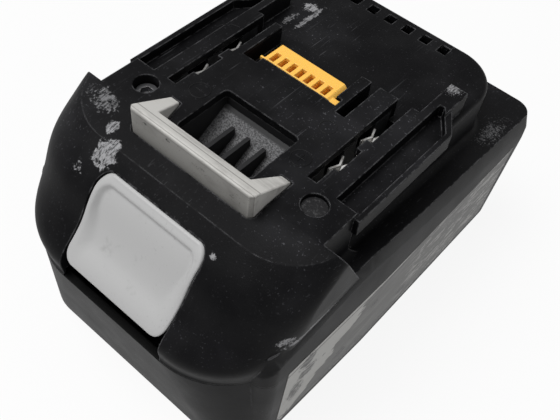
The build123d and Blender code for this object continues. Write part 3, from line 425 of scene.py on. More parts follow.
case_black = (0.0028, 0.0028, 0.0034, 1)
case_worn_black = (0.0060, 0.0060, 0.0066, 1)
seam_black = (0.0008, 0.0008, 0.0008, 1)
seam_height = 0.034
seam_half = 0.00022
case_smoothest = 0.38
case_mottle_roughness = 0.22
case_scuff_roughness = 0.25
dust_grey = (0.15, 0.15, 0.165, 1)
scratch_grey = (0.075, 0.075, 0.08, 1)
edge_grey = (0.12, 0.12, 0.125, 1)
scuff_white = (0.34, 0.34, 0.35, 1)
# Each mark: centre, reach along each axis, flakes per metre, how full, how strong.
case_scuffs = [
    ((-0.0272, -0.0325, 0.0615), (0.0068, 0.0050, 0.005), 620.0, 0.46, 0.55),
    ((-0.0250, -0.0335, 0.0613), (0.0066, 0.0050, 0.005), 1400.0, 0.42, 0.50),
    ((-0.0310, -0.0325, 0.0600), (0.0034, 0.0066, 0.005), 1100.0, 0.40, 0.40),
    ((-0.0196, -0.0366, 0.0610), (0.0016, 0.0022, 0.002), 600.0, 1.00, 1.00),
    ((-0.0165, -0.0414, 0.0592), (0.0036, 0.0040, 0.004), 560.0, 0.95, 1.00),
    ((-0.0205, -0.0462, 0.0555), (0.0046, 0.0036, 0.004), 1100.0, 0.32, 0.80),
    ((0.0160, -0.0437, 0.0575), (0.0013, 0.0008, 0.001), 1400.0, 0.75, 0.90),
    ((-0.0196, 0.0290, 0.0570), (0.0032, 0.0032, 0.002), 800.0, 0.75, 1.00),
    ((-0.0172, 0.0250, 0.0570), (0.0011, 0.0080, 0.002), 1100.0, 0.80, 0.70),
    ((-0.0205, 0.0215, 0.0570), (0.0016, 0.0060, 0.002), 1100.0, 0.60, 0.50),
    ((0.0249, 0.0245, 0.0620), (0.0040, 0.0038, 0.002), 3200.0, 0.55, 0.75),
    ((0.0330, 0.0400, 0.0450), (0.0060, 0.0160, 0.008), 1500.0, 0.46, 0.38),
    ((0.0358, -0.0365, 0.0456), (0.0030, 0.0110, 0.0015), 1900.0, 0.80, 0.90),
    ((0.0349, -0.0430, 0.0475), (0.0022, 0.0030, 0.0014), 1700.0, 0.85, 1.00),
    ((0.0100, -0.0340, 0.0610), (0.0160, 0.0034, 0.002), 2000.0, 0.34, 0.22),
    ((0.0060, -0.0330, 0.0610), (0.0200, 0.0030, 0.002), 700.0, 0.42, 0.07),
    ((0.0290, 0.0000, 0.0545), (0.0060, 0.0400, 0.006), 1700.0, 0.25, 0.20),
]

case_finish, tree, shade = new_finish("moulded_black_nylon", rough=0.48, gloss=0.08)
grain = use(tree, grain_group, Pits_Per_Metre=2600.0)
scratches = use(tree, scratch_group, Amount=0.55)
dust = use(tree, dust_group, Amount=0.7, Specks_Per_Metre=1700.0)
edges = use(tree, edge_group, Width=0.00045, Amount=0.95)
colour = tint(tree, case_black, case_worn_black, ramp(tree, grain.outputs["Mottle"], 0.35, 0.7))
colour = tint(tree, colour, dust_grey, dust.outputs["Mask"])
colour = tint(tree, colour, scratch_grey, scratches.outputs["Mask"])
colour = tint(tree, colour, edge_grey, edges.outputs["Mask"])
scuffed = marked(tree, case_scuffs)
colour = tint(tree, colour, scuff_white, scuffed)
from_seam = calc(tree, "SUBTRACT", along_axes(tree, "place")["Z"], seam_height)
from_seam = calc(tree, "ABSOLUTE", from_seam)
seam = calc(tree, "SUBTRACT", 1.0, ramp(tree, from_seam, seam_half * 0.5, seam_half))
colour = tint(tree, colour, seam_black, seam)
roughness = calc(tree, "MULTIPLY", grain.outputs["Mottle"], case_mottle_roughness)
roughness = calc(tree, "ADD", roughness, case_smoothest)
more = calc(tree, "MULTIPLY", scuffed, case_scuff_roughness)
roughness = calc(tree, "ADD", roughness, more, True)
tree.links.new(roughness, shade.inputs["Roughness"])
coat(tree, shade, colour, grain.outputs["Height"], depth=0.00002, normal=edges.outputs["Normal"])
dress(case_finish, "upper_case", "lower_case")


# Every new piece rides on its body and stands for a CAD node if it has one.
def settle(piece, body, node=None):
    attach(piece, body)
    if node is not None:
        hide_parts(node)


# The rounding asked for. The bevel is held back by the shortest edges of the mesh, so the
# shells get less than this.
case_edge_radius = 0.00025
crease_degrees = 22
flat_degrees = 0.3
weld_distance = 1e-6


# Turns what a piece's modifiers make into its plain mesh.
def harden(piece, name):
    bpy.context.view_layer.update()
    ready = piece.evaluated_get(bpy.context.evaluated_depsgraph_get())
    mesh = bpy.data.meshes.new_from_object(ready)
    mesh.name = name
    piece.modifiers.clear()
    piece.data = mesh


def softened(name, node, body, radius):
    made = bmesh.new()
    made.from_mesh(nodes[node].data)
    bmesh.ops.remove_doubles(made, verts=made.verts, dist=weld_distance)
    bmesh.ops.dissolve_degenerate(made, edges=made.edges, dist=weld_distance)
    bmesh.ops.dissolve_limit(
        made, angle_limit=radians(flat_degrees), verts=made.verts, edges=made.edges,
        use_dissolve_boundaries=False,
    )
    mesh = nodes[node].data.copy()
    mesh.name = name
    made.to_mesh(mesh)
    made.free()
    if "custom_normal" in mesh.attributes:
        mesh.attributes.remove(mesh.attributes["custom_normal"])
    mesh.shade_smooth()
    mesh.set_sharp_from_angle(angle=radians(crease_degrees))
    piece = put_in_scene(name, mesh)
    rounding = piece.modifiers.new("rounding", "BEVEL")
    rounding.width = radius
    rounding.segments = 2
    rounding.limit_method = "ANGLE"
    rounding.angle_limit = radians(crease_degrees)
    rounding.use_clamp_overlap = True
    evening = piece.modifiers.new("evening", "WEIGHTED_NORMAL")
    evening.keep_sharp = True
    harden(piece, name)
    settle(piece, body, node)


softened("upper_shell", "upper_case", "pack", case_edge_radius)
softened("lower_shell", "lower_case", "pack", case_edge_radius)


# Moulded signs: thin beads that the mould leaves standing on the deck. A ring with a bar and
# a ring with a cross name the two power slots, a plain ring and an arc are ejector marks.
sign_height = 0.0620
sign_bead_radius = 0.00016
sign_flatness = 0.45
sign_bar_share = 0.5
sign_arc_points = 49
sign_bead_sides = 8
signs = [
    ("minus_sign", (-0.0142, -0.0166), 0.00235, 0, 360, True, False),
    ("plus_sign", (0.0139, -0.0160), 0.00225, 0, 360, True, True),
    ("mould_ring", (0.0124, -0.0052), 0.00190, 0, 360, False, False),
    ("ejector_arc", (-0.0222, 0.0010), 0.00420, 95, 80, False, False),
]


def start_maker(name, inputs):
    made = bpy.data.node_groups.new(name, "GeometryNodeTree")
    face = made.interface
    for label, kind in [("Geometry", "Geometry")] + inputs:
        face.new_socket(label, in_out="INPUT", socket_type="NodeSocket" + kind)
    face.new_socket("Geometry", in_out="OUTPUT", socket_type="NodeSocketGeometry")
    return made, made.nodes.new("NodeGroupInput").outputs


# Sweeps a round profile along the curve, puts it in place and gives it its finish.
def thickened(made, curve, thickness, sides, place, finish, flatness=1.0):
    profile = made.nodes.new("GeometryNodeCurvePrimitiveCircle")
    profile.inputs["Resolution"].default_value = sides
    made.links.new(thickness, profile.inputs["Radius"])
    swept = made.nodes.new("GeometryNodeCurveToMesh")
    swept.inputs["Fill Caps"].default_value = True
    made.links.new(curve, swept.inputs["Curve"])
    made.links.new(profile.outputs["Curve"], swept.inputs["Profile Curve"])
    placed = made.nodes.new("GeometryNodeTransform")
    placed.inputs["Scale"].default_value = (1, 1, flatness)
    made.links.new(swept.outputs[0], placed.inputs["Geometry"])
    made.links.new(place, placed.inputs["Translation"])
    real = made.nodes.new("GeometryNodeRealizeInstances")
    made.links.new(placed.outputs[0], real.inputs[0])
    coated = made.nodes.new("GeometryNodeSetMaterial")
    made.links.new(real.outputs[0], coated.inputs["Geometry"])
    made.links.new(finish, coated.inputs["Material"])
    made.links.new(coated.outputs[0], made.nodes.new("NodeGroupOutput").inputs[0])


def sign_tree():
    made, given = start_maker("moulded_sign", [
        ("Centre", "Vector"), ("Radius", "Float"), ("Start", "Float"), ("Sweep", "Float"),
        ("Bead", "Float"), ("Has Bar", "Bool"), ("Has Cross", "Bool"), ("Finish", "Material"),
    ])
    arc = made.nodes.new("GeometryNodeCurveArc")
    arc.inputs["Resolution"].default_value = sign_arc_points
    made.links.new(given["Radius"], arc.inputs["Radius"])
    made.links.new(given["Start"], arc.inputs["Start Angle"])
    made.links.new(given["Sweep"], arc.inputs["Sweep Angle"])
    reach = calc(made, "MULTIPLY", given["Radius"], sign_bar_share)
    back = calc(made, "MULTIPLY", reach, -1.0)
    joined = made.nodes.new("GeometryNodeJoinGeometry")
    made.links.new(arc.outputs["Curve"], joined.inputs[0])
    for axis, wanted in (("X", "Has Bar"), ("Y", "Has Cross")):
        bar = made.nodes.new("GeometryNodeCurvePrimitiveLine")
        for end, value in (("Start", back), ("End", reach)):
            point = made.nodes.new("ShaderNodeCombineXYZ")
            made.links.new(value, point.inputs[axis])
            made.links.new(point.outputs[0], bar.inputs[end])
        choice = made.nodes.new("GeometryNodeSwitch")
        choice.input_type = "GEOMETRY"
        made.links.new(given[wanted], choice.inputs["Switch"])
        made.links.new(bar.outputs["Curve"], choice.inputs["True"])
        made.links.new(choice.outputs[0], joined.inputs[0])
    thickened(
        made, joined.outputs[0], given["Bead"], sign_bead_sides, given["Centre"],
        given["Finish"], sign_flatness,
    )
    return made


def grow(name, tree, **values):
    start = put_in_scene(name, bpy.data.meshes.new(name + "_start"))
    maker = start.modifiers.new("maker", "NODES")
    maker.node_group = tree
    names = {
        item.name: item.identifier
        for item in tree.interface.items_tree
        if item.item_type == "SOCKET" and item.in_out == "INPUT"
    }
    for label, value in values.items():
        maker[names[label.replace("_", " ")]] = value
    harden(start, name)
    return start


def mottled_finish(name, dark, pale, rough, pits, mottle, depth, gloss=0.5):
    finish, tree, shade = new_finish(name, rough=rough, gloss=gloss)
    grain = use(tree, grain_group, Pits_Per_Metre=pits)
    colour = tint(tree, dark, pale, ramp(tree, grain.outputs["Mottle"], *mottle))
    coat(tree, shade, colour, grain.outputs["Height"], depth=depth)
    return finish


sign_black = (0.0032, 0.0032, 0.0038, 1)
sign_worn_black = (0.012, 0.012, 0.0125, 1)
sign_finish = mottled_finish(
    "moulded_sign_black", sign_black, sign_worn_black, rough=0.42, gloss=0.12, pits=2600.0,
    mottle=(0.45, 0.7), depth=0.00001,
)
sign_maker = sign_tree()
for name, place, radius, start, turn, bar, cross in signs:
    piece = grow(
        name, sign_maker, Centre=(place[0], place[1], sign_height), Radius=radius,
        Start=radians(start), Sweep=radians(turn), Bead=sign_bead_radius, Has_Bar=bar,
        Has_Cross=cross, Finish=sign_finish,
    )
    settle(piece, "pack")


# Release button: moulded in light grey acetal, smooth, with a shallow dish for the thumb.
# It sits in the sloping front and carries faint smudges of dirt and a few scratches.
button_grey = (0.45, 0.45, 0.45, 1)
button_dirt = (0.16, 0.155, 0.15, 1)
smudge_strength = 0.35
button_finish, tree, shade = new_finish("smooth_grey_acetal", rough=0.42, gloss=0.4)
grain = use(tree, grain_group, Pits_Per_Metre=900.0)
scratches = use(tree, scratch_group, Amount=0.3)
edges = use(tree, edge_group, Width=0.0004, Amount=0.0)
smudge = ramp(tree, noise(tree, object_place(tree), 160.0, detail=4.0, rough=0.7), 0.58, 0.80)
colour = tint(tree, button_grey, button_dirt, calc(tree, "MULTIPLY", smudge, smudge_strength))
colour = tint(tree, colour, button_dirt, scratches.outputs["Mask"])
coat(tree, shade, colour, grain.outputs["Height"], depth=0.00001, normal=edges.outputs["Normal"])
dress(button_finish, "release_button")

# The cap follows the CAD button's face, seen from the front, and its rings sink into a dish
# whose slope is short at the top and long at the foot.
button_half_width = 0.01475
button_low = 0.0402
button_top = 0.0577
button_corner = 0.0030
button_thickness = 0.0030
button_corner_steps = 12
button_side_steps = 14
button_skin_probes = (0.008, 0.014)
button_probe_start = -0.07
button_skin_margin = 0.0003
button_crease_degrees = 60
button_corner_shrink = 0.45
button_least_corner = 0.001
button_most_corner_share = 0.8
button_rim = 0.0009
button_dish_depth = 0.00145
button_dish_slope_top = 0.0016
button_dish_slope_foot = 0.0060
button_dish_slope_gain = 1.5
button_edge_drops = [(0.0, 0.00042), (0.00010, 0.00018), (0.00026, 0.00004)]
button_insets = [
    0.00045, 0.0007, 0.0009, 0.0011, 0.0013, 0.0015, 0.0017, 0.0019, 0.0021, 0.0023, 0.0025,
    0.0028, 0.0032, 0.0037, 0.0043, 0.0050, 0.0058, 0.0066, 0.0074, 0.0081, 0.0085,
]


def rounded_outline(half_wide, half_high, corner):
    points = []
    flat_x, flat_z = half_wide - corner, half_high - corner
    corners = [(flat_x, flat_z, 0), (-flat_x, flat_z, 90), (-flat_x, -flat_z, 180),
               (flat_x, -flat_z, 270)]
    for index, (x, z, start) in enumerate(corners):
        for step in range(button_corner_steps + 1):
            turn = radians(start + 90 * step / button_corner_steps)
            points.append((x + corner * cos(turn), z + corner * sin(turn)))
        next_x, next_z, next_start = corners[(index + 1) % 4]
        end = radians(next_start)
        to_x, to_z = next_x + corner * cos(end), next_z + corner * sin(end)
        from_x, from_z = points[-1]
        for step in range(1, button_side_steps):
            part = step / button_side_steps
            points.append((from_x + (to_x - from_x) * part, from_z + (to_z - from_z) * part))
    return points


def dish_sink(inset, height_share):
    spread = min(max(height_share * button_dish_slope_gain, 0.0), 1.0)
    slope = button_dish_slope_foot + (button_dish_slope_top - button_dish_slope_foot) * spread
    part = min(max((inset - button_rim) / slope, 0.0), 1.0)
    return button_dish_depth * part * part * (3 - 2 * part)


def skin_of_button():
    seen = bmesh.new()
    seen.from_mesh(nodes["release_button"].data)
    found = BVHTree.FromBMesh(seen)
    seen.free()

    def depth_at(height):
        best = 0.0
        for probe in button_skin_probes:
            start = Vector((probe, button_probe_start, height))
            hit = found.ray_cast(start, Vector((0, 1, 0)))[0]
            if hit is not None:
                best = min(best, hit.y)
        return best

    return depth_at


def button_cap():
    skin = skin_of_button()
    middle = (button_low + button_top) / 2
    half_high = (button_top - button_low) / 2
    lowest, highest = button_low + button_skin_margin, button_top - button_skin_margin
    made = bmesh.new()
    rings = []
    levels = [(0.0, button_thickness)] + button_edge_drops
    levels += [(inset, 0.0) for inset in button_insets]
    for inset, drop in levels:
        corner = max(button_corner - button_corner_shrink * inset, button_least_corner)
        corner = min(corner, button_most_corner_share * (half_high - inset))
        outline = rounded_outline(button_half_width - inset, half_high - inset, corner)
        ring = []
        for x, z in outline:
            height = min(max(middle + z, lowest), highest)
            sink = drop + dish_sink(inset, (height - button_low) / (2 * half_high))
            ring.append(made.verts.new((x, skin(height) + sink, middle + z)))
        rings.append(ring)
    for outer, inner in zip(rings, rings[1:]):
        for index in range(len(outer)):
            after = (index + 1) % len(outer)
            made.faces.new((outer[index], outer[after], inner[after], inner[index]))
    made.faces.new(rings[-1])
    made.faces.new(list(reversed(rings[0])))
    bmesh.ops.recalc_face_normals(made, faces=made.faces)
    mesh = bpy.data.meshes.new("button_cap")
    made.to_mesh(mesh)
    made.free()
    mesh.shade_smooth()
    mesh.set_sharp_from_angle(angle=radians(button_crease_degrees))
    mesh.materials.append(button_finish)
    cap = put_in_scene("button_cap", mesh)
    settle(cap, "latch", "release_button")


button_cap()


# Latch hook: ivory acetal, moulded in one piece with its carriage. The tool's catch has
# smeared dirt over its ramps and chipped two small flakes from its bar. Its faces turned to
# the front are darkened with painted shade.
hook_ivory = (0.58, 0.57, 0.545, 1)
hook_dirt = (0.16, 0.15, 0.14, 1)
hook_chip = (0.02, 0.02, 0.02, 1)
hook_painted_shade = (0.16, 0.155, 0.145, 1)
hook_edge_radius = 0.0003
hook_hairlines = [("Z", 0.0668), ("Y", -0.0337)]
hairline_reach = (0.00003, 0.00010)
hairline_strength = 0.75
smear_strength = 0.75
smear_stretch = (60.0, 240.0, 120.0)
fleck_off_front = 0.25
painted_shade_strength = 0.62
hook_marks = [
    ((-0.0119, -0.0344, 0.0660), (0.0007, 0.001, 0.0005), 2500.0, 0.85, 1.0),
    ((-0.0056, -0.0344, 0.0661), (0.0008, 0.001, 0.0005), 2500.0, 0.85, 1.0),
    ((0.0030, -0.0344, 0.0650), (0.0140, 0.001, 0.0030), 2600.0, 0.14, 0.6),
    ((0.0120, -0.0344, 0.0640), (0.0060, 0.001, 0.0030), 1800.0, 0.22, 0.5),
]
hook_finish, tree, shade = new_finish("ivory_acetal", rough=0.45, gloss=0.4)
grain = use(tree, grain_group, Pits_Per_Metre=1200.0)
scratches = use(tree, scratch_group, Amount=0.8)
edges = use(tree, edge_group, Width=0.00035, Amount=0.5)
smear = noise(tree, object_place(tree, (0, 0, 0.2), smear_stretch), 1.0, detail=4.0, rough=0.65)
smear = calc(tree, "MULTIPLY", ramp(tree, smear, 0.46, 0.78), smear_strength)
colour = tint(tree, hook_ivory, hook_dirt, smear)
fleck = ramp(tree, noise(tree, object_place(tree), 2200.0, detail=3.0, rough=0.7), 0.64, 0.70)
to_front = calc(tree, "MULTIPLY", along_axes(tree, "facing")["Y"], -1.0)
front_side = ramp(tree, to_front, 0.3, 0.8)
fleck = calc(tree, "MULTIPLY", fleck, calc(tree, "ADD", front_side, fleck_off_front), True)
colour = tint(tree, colour, hook_dirt, fleck)
# Painted shade: faces turned to the front are darkened towards the painted shade colour.
painted_front_shade = calc(tree, "MULTIPLY", front_side, painted_shade_strength)
colour = tint(tree, colour, hook_painted_shade, painted_front_shade)
colour = tint(tree, colour, hook_dirt, scratches.outputs["Mask"])
colour = tint(tree, colour, hook_dirt, edges.outputs["Mask"])
where = along_axes(tree, "place")
for axis, height in hook_hairlines:
    off_line = calc(tree, "ABSOLUTE", calc(tree, "SUBTRACT", where[axis], height))
    line = calc(tree, "SUBTRACT", 1.0, ramp(tree, off_line, *hairline_reach))
    colour = tint(tree, colour, hook_dirt, calc(tree, "MULTIPLY", line, hairline_strength))
for mark in hook_marks:
    colour = tint(tree, colour, hook_chip, marked(tree, [mark]))
coat(tree, shade, colour, grain.outputs["Height"], depth=0.00001, normal=edges.outputs["Normal"])
dress(hook_finish, "latch_hook")
softened("hook_body", "latch_hook", "latch", hook_edge_radius)


# Signal connector: a block of amber-orange polyester, moulded glossy, with seven windows.
# It stands upright in the deck, and painted shade makes it darker further down.
connector_orange = (1.0, 0.56, 0.10, 1)
connector_painted_shade = (0.70, 0.25, 0.025, 1)
connector_unshaded_above = 0.0616
connector_shaded_below = 0.0585
connector_edge_radius = 0.00015
connector_glow_through = 0.12
connector_glow_reach = (0.0012, 0.0006, 0.0002)
connector_finish, tree, shade = new_finish("amber_polyester", rough=0.35, gloss=0.5)
shade.inputs["Subsurface Weight"].default_value = connector_glow_through
shade.inputs["Subsurface Radius"].default_value = connector_glow_reach
grain = use(tree, grain_group, Pits_Per_Metre=1400.0)
edges = use(tree, edge_group, Width=0.0003, Amount=0.0)
# Painted shade: the block darkens from its top towards its lower parts.
painted_shade_down = calc(tree, "MULTIPLY", along_axes(tree, "place")["Z"], -1.0)
painted_shade_down = ramp(tree, painted_shade_down, -connector_unshaded_above, -connector_shaded_below)
colour = tint(tree, connector_orange, connector_painted_shade, painted_shade_down)
coat(tree, shade, colour, grain.outputs["Height"], depth=0.00001, normal=edges.outputs["Normal"])
dress(connector_finish, "signal_connector")
softened(
    "connector_block", "signal_connector", "pack", connector_edge_radius
)


# Contacts: spring bronze with a bright tin plating, pressed and bent. Two forks stand in
# each power slot, and a small fork stands in each way of the connector.
tin_bright = (0.90, 0.89, 0.87, 1)
tin_dull = (0.40, 0.38, 0.35, 1)
contact_finish, tree, shade = new_finish("tinned_bronze", rough=0.32, metal=0.65)
grain = use(tree, grain_group, Pits_Per_Metre=1800.0)
scratches = use(tree, scratch_group, Amount=0.9)
edges = use(tree, edge_group, Width=0.00012, Amount=0.4)
stain = ramp(tree, noise(tree, object_place(tree), 700.0, detail=4.0, rough=0.6), 0.48, 0.72)
colour = tint(tree, tin_bright, tin_dull, stain)
colour = tint(tree, colour, tin_dull, scratches.outputs["Mask"])
coat(tree, shade, colour, grain.outputs["Height"], depth=0.00001, normal=edges.outputs["Normal"])
dress(contact_finish, "positive_terminal", "negative_terminal", "signal_contacts")


# Case screws: hardened steel with a dark zinc coat, sunk in the two round holes of the deck.
# They hold the two shells together.
steel_dark = (0.20, 0.20, 0.21, 1)
steel_bright = (0.55, 0.54, 0.53, 1)
screw_finish, tree, shade = new_finish("zinc_coated_steel", rough=0.38, metal=1.0)
grain = use(tree, grain_group, Pits_Per_Metre=2600.0)
scratches = use(tree, scratch_group, Amount=0.7)
edges = use(tree, edge_group, Width=0.00015, Amount=0.8)
colour = tint(tree, steel_dark, steel_bright, edges.outputs["Mask"])
colour = tint(tree, colour, steel_bright, scratches.outputs["Mask"])
coat(tree, shade, colour, grain.outputs["Height"], depth=0.00001, normal=edges.outputs["Normal"])
dress(screw_finish, "case_screws")


# Screw plug: a disc of rubber pressed into the right-hand hole over the screw. Its face is
# rough and full of grit.
plug_black = (0.010, 0.010, 0.011, 1)
plug_grit = (0.09, 0.09, 0.09, 1)
grit_strength = 0.6
plug_finish, tree, shade = new_finish("gritty_rubber", rough=0.75, gloss=0.25)
grain = use(tree, grain_group, Pits_Per_Metre=1500.0)
dust = use(tree, dust_group, Amount=1.0, Specks_Per_Metre=1400.0)
edges = use(tree, edge_group, Width=0.0003, Amount=0.2)
grit = ramp(tree, noise(tree, object_place(tree), 1500.0, detail=3.0, rough=0.7), 0.52, 0.70)
colour = tint(tree, plug_black, plug_grit, calc(tree, "MULTIPLY", grit, grit_strength))
colour = tint(tree, colour, plug_grit, dust.outputs["Mask"])
coat(tree, shade, colour, grain.outputs["Height"], depth=0.00012, normal=edges.outputs["Normal"])
dress(plug_finish, "screw_plug")


# Side labels: thin polyester film stuck to the tapered sides of the lower case, right up
# to the seam. They are bare: off-white at the front, a grey film further back, and rubbed
# through to the black in ragged chips and long streaks.
label_film_top = 0.0335
label_node_low = 0.005
label_node_top = 0.030
label_side_lean = 0.021
label_white = (0.36, 0.355, 0.34, 1)
label_grey = (0.040, 0.039, 0.036, 1)
label_pale = (0.24, 0.236, 0.225, 1)
label_bare = (0.003, 0.003, 0.003, 1)
white_lean = -1.1
white_waver = 0.03
white_ends = (-0.0315, -0.0300)
sheen_strength = 0.35
sheen_stretch = (80.0, 70.0, 260.0)
top_band = (0.0322, 0.0324)
top_band_fades = (-0.006, 0.003)
top_band_strength = 0.8
streaks_start = (0.000, 0.010)
streak_run = (70.0, 160.0, 560.0)
dark_line_height = 0.0316
dark_line_reach = (0.00012, 0.0003)
low_edge_wear = (-0.011, -0.0055)
label_chips = [
    ((0.0366, -0.0352, 0.0300), (0.004, 0.0034, 0.0036), 1100.0, 0.98, 1.0),
    ((0.0366, -0.0345, 0.0240), (0.004, 0.0038, 0.0036), 1100.0, 0.92, 1.0),
    ((0.0366, -0.0375, 0.0180), (0.004, 0.0034, 0.0060), 1100.0, 0.90, 1.0),
    ((0.0370, -0.0200, 0.0120), (0.004, 0.0038, 0.0030), 900.0, 0.85, 1.0),
    ((0.0370, -0.0100, 0.0240), (0.004, 0.0030, 0.0020), 900.0, 0.70, 1.0),
    ((0.0370, 0.0060, 0.0120), (0.004, 0.0034, 0.0030), 900.0, 0.70, 1.0),
    ((-0.0366, 0.0100, 0.0230), (0.004, 0.0060, 0.0040), 700.0, 0.75, 1.0),
]


def label_film(name, node, side):
    mesh = nodes[node].data.copy()
    mesh.name = name
    stretch = (label_film_top - label_node_low) / (label_node_top - label_node_low)
    for vertex in mesh.vertices:
        risen = (vertex.co.z - label_node_low) * (stretch - 1.0)
        vertex.co.z += risen
        across = side * vertex.co.x + risen * label_side_lean
        vertex.co.x = side * min(across, cad_box[1][0])
    film = put_in_scene(name, mesh)
    settle(film, "pack", node)


label_finish, tree, shade = new_finish("worn_label_film", rough=0.45, gloss=0.25)
where = along_axes(tree, "place")
below = calc(tree, "MULTIPLY", where["Z"], -1.0)
ahead = calc(tree, "MULTIPLY", where["Y"], -1.0)
drift = noise(tree, object_place(tree, (0, 0, 0), (60.0, 60.0, 140.0)), 1.0, detail=4.0, rough=0.65)
slant = calc(tree, "ADD", where["Y"], calc(tree, "MULTIPLY", where["Z"], white_lean))
slant = calc(tree, "ADD", slant, calc(tree, "MULTIPLY", drift, white_waver))
colour = tint(tree, label_white, label_grey, ramp(tree, slant, *white_ends))
sheen = noise(tree, object_place(tree, (0.5, 0, 0), sheen_stretch), 1.0, detail=4.0, rough=0.7)
sheen = calc(tree, "MULTIPLY", ramp(tree, sheen, 0.42, 0.80), sheen_strength)
colour = tint(tree, colour, label_pale, sheen)
band_end = ramp(tree, ahead, *top_band_fades)
band = calc(tree, "MULTIPLY", ramp(tree, where["Z"], *top_band), band_end)
colour = tint(tree, colour, label_white, calc(tree, "MULTIPLY", band, top_band_strength))
streak = noise(tree, object_place(tree, (0.75, 0, 0), streak_run), 1.0, detail=4.0, rough=0.75)
far_back = ramp(tree, where["Y"], *streaks_start)
streak = calc(tree, "MULTIPLY", ramp(tree, streak, 0.53, 0.57), far_back)
colour = tint(tree, colour, label_pale, streak)
dark_line = calc(tree, "ABSOLUTE", calc(tree, "SUBTRACT", where["Z"], dark_line_height))
dark_line = calc(tree, "SUBTRACT", 1.0, ramp(tree, dark_line, *dark_line_reach))
dark_line = calc(tree, "MULTIPLY", dark_line, band_end)
rubbed = ramp(tree, noise(tree, object_place(tree), 330.0, detail=5.0, rough=0.75), 0.66, 0.68)
low_noise = ramp(tree, noise(tree, object_place(tree), 420.0, detail=4.0, rough=0.7), 0.50, 0.53)
low_wear = calc(tree, "MULTIPLY", ramp(tree, below, *low_edge_wear), low_noise)
rubbed = calc(tree, "MAXIMUM", rubbed, low_wear)
rubbed = calc(tree, "MAXIMUM", rubbed, dark_line)
rubbed = calc(tree, "MAXIMUM", rubbed, marked(tree, label_chips))
colour = tint(tree, colour, label_bare, rubbed)
scratches = use(tree, scratch_group, Amount=0.9)
colour = tint(tree, colour, label_pale, scratches.outputs["Mask"])
coat(tree, shade, colour, rubbed, depth=0.00004)
dress(label_finish, "side_label_left", "side_label_right")
label_film("label_film_left", "side_label_left", -1)
label_film("label_film_right", "side_label_right", 1)


# Air guide: the duct under the air well, moulded in the same black nylon. Dust from the
# tool's fan has settled on its floor and left its three fins dark.
guide_black = (0.011, 0.011, 0.012, 1)
guide_dust = (0.16, 0.16, 0.165, 1)
guide_dust_free_above = 0.0574
guide_dusty_below = 0.0570
speckle_strength = 0.85
dust_between_specks = 0.08
guide_finish, tree, shade = new_finish("dusty_black_nylon", rough=0.6, gloss=0.3)
grain = use(tree, grain_group, Pits_Per_Metre=1900.0)
edges = use(tree, edge_group, Width=0.0003, Amount=0.35)
faces_up = ramp(tree, along_axes(tree, "facing")["Z"], 0.5, 0.75)
depth = calc(tree, "MULTIPLY", along_axes(tree, "place")["Z"], -1.0)
below_fins = ramp(tree, depth, -guide_dust_free_above, -guide_dusty_below)
speckle = ramp(tree, noise(tree, object_place(tree), 2600.0, detail=3.0, rough=0.8), 0.38, 0.62)
speckle = calc(tree, "MULTIPLY", speckle, speckle_strength)
speckle = calc(tree, "ADD", speckle, dust_between_specks)
floor = calc(tree, "MULTIPLY", faces_up, below_fins)
floor_dust = calc(tree, "MULTIPLY", floor, speckle, True)
colour = tint(tree, guide_black, guide_dust, floor_dust)
colour = tint(tree, colour, edge_grey, edges.outputs["Mask"])
coat(tree, shade, colour, grain.outputs["Height"], depth=0.00003, normal=edges.outputs["Normal"])
dress(guide_finish, "air_guide")


# Inner frames: terminal holder, cell holders and board tray in plain dark grey plastic,
# moulded, and held between the two shells.
frame_grey = (0.028, 0.029, 0.031, 1)
frame_pale = (0.05, 0.051, 0.054, 1)
inner_finish = mottled_finish(
    "inner_grey_plastic", frame_grey, frame_pale, rough=0.55, gloss=0.4, pits=1600.0,
    mottle=(0.4, 0.7), depth=0.00002,
)
dress(inner_finish, "terminal_holder", "cell_holder_left", "cell_holder_right", "board_tray")


# Circuit board: glass-fibre laminate under green lacquer, with a faint weave. The control
# chip and the power switch on it are moulded black resin.
lacquer_green = (0.012, 0.085, 0.035, 1)
lacquer_light = (0.03, 0.15, 0.06, 1)
weave_per_metre = 420.0
weave_waver = 0.6
weave_turn = (0, 0, 0.785)
board_finish, tree, shade = new_finish("green_lacquer", rough=0.3)
weave = tree.nodes.new("ShaderNodeTexWave")
weave.inputs["Scale"].default_value = weave_per_metre
weave.inputs["Distortion"].default_value = weave_waver
tree.links.new(object_place(tree, weave_turn), weave.inputs["Vector"])
colour = tint(tree, lacquer_green, lacquer_light, weave.outputs["Fac"])
coat(tree, shade, colour, weave.outputs["Fac"], depth=0.00001)
dress(board_finish, "circuit_board")

resin_black = (0.014, 0.014, 0.015, 1)
resin_grey = (0.035, 0.035, 0.037, 1)
resin_finish = mottled_finish(
    "moulded_resin", resin_black, resin_grey, rough=0.5, pits=3200.0, mottle=(0.45, 0.7),
    depth=0.00002,
)
dress(resin_finish, "control_chip", "power_transistor", "thermistor")


# Cells: ten drawn cans of nickel-plated steel, brushed along their length. The frames hold
# them in two layers of five.
can_bright = (0.62, 0.62, 0.61, 1)
can_dull = (0.38, 0.38, 0.37, 1)
can_brush = (60.0, 1400.0, 1400.0)
can_finish, tree, shade = new_finish("plated_can", rough=0.32, metal=1.0)
brushed = noise(tree, object_place(tree, stretch=can_brush), 1.0, detail=2.0, rough=0.5)
colour = tint(tree, can_bright, can_dull, ramp(tree, brushed, 0.35, 0.7))
coat(tree, shade, colour, brushed, depth=0.000005)
cell_names = [f"{layer}_cell_{index}" for layer in ("lower", "upper") for index in range(1, 6)]
dress(can_finish, *cell_names)


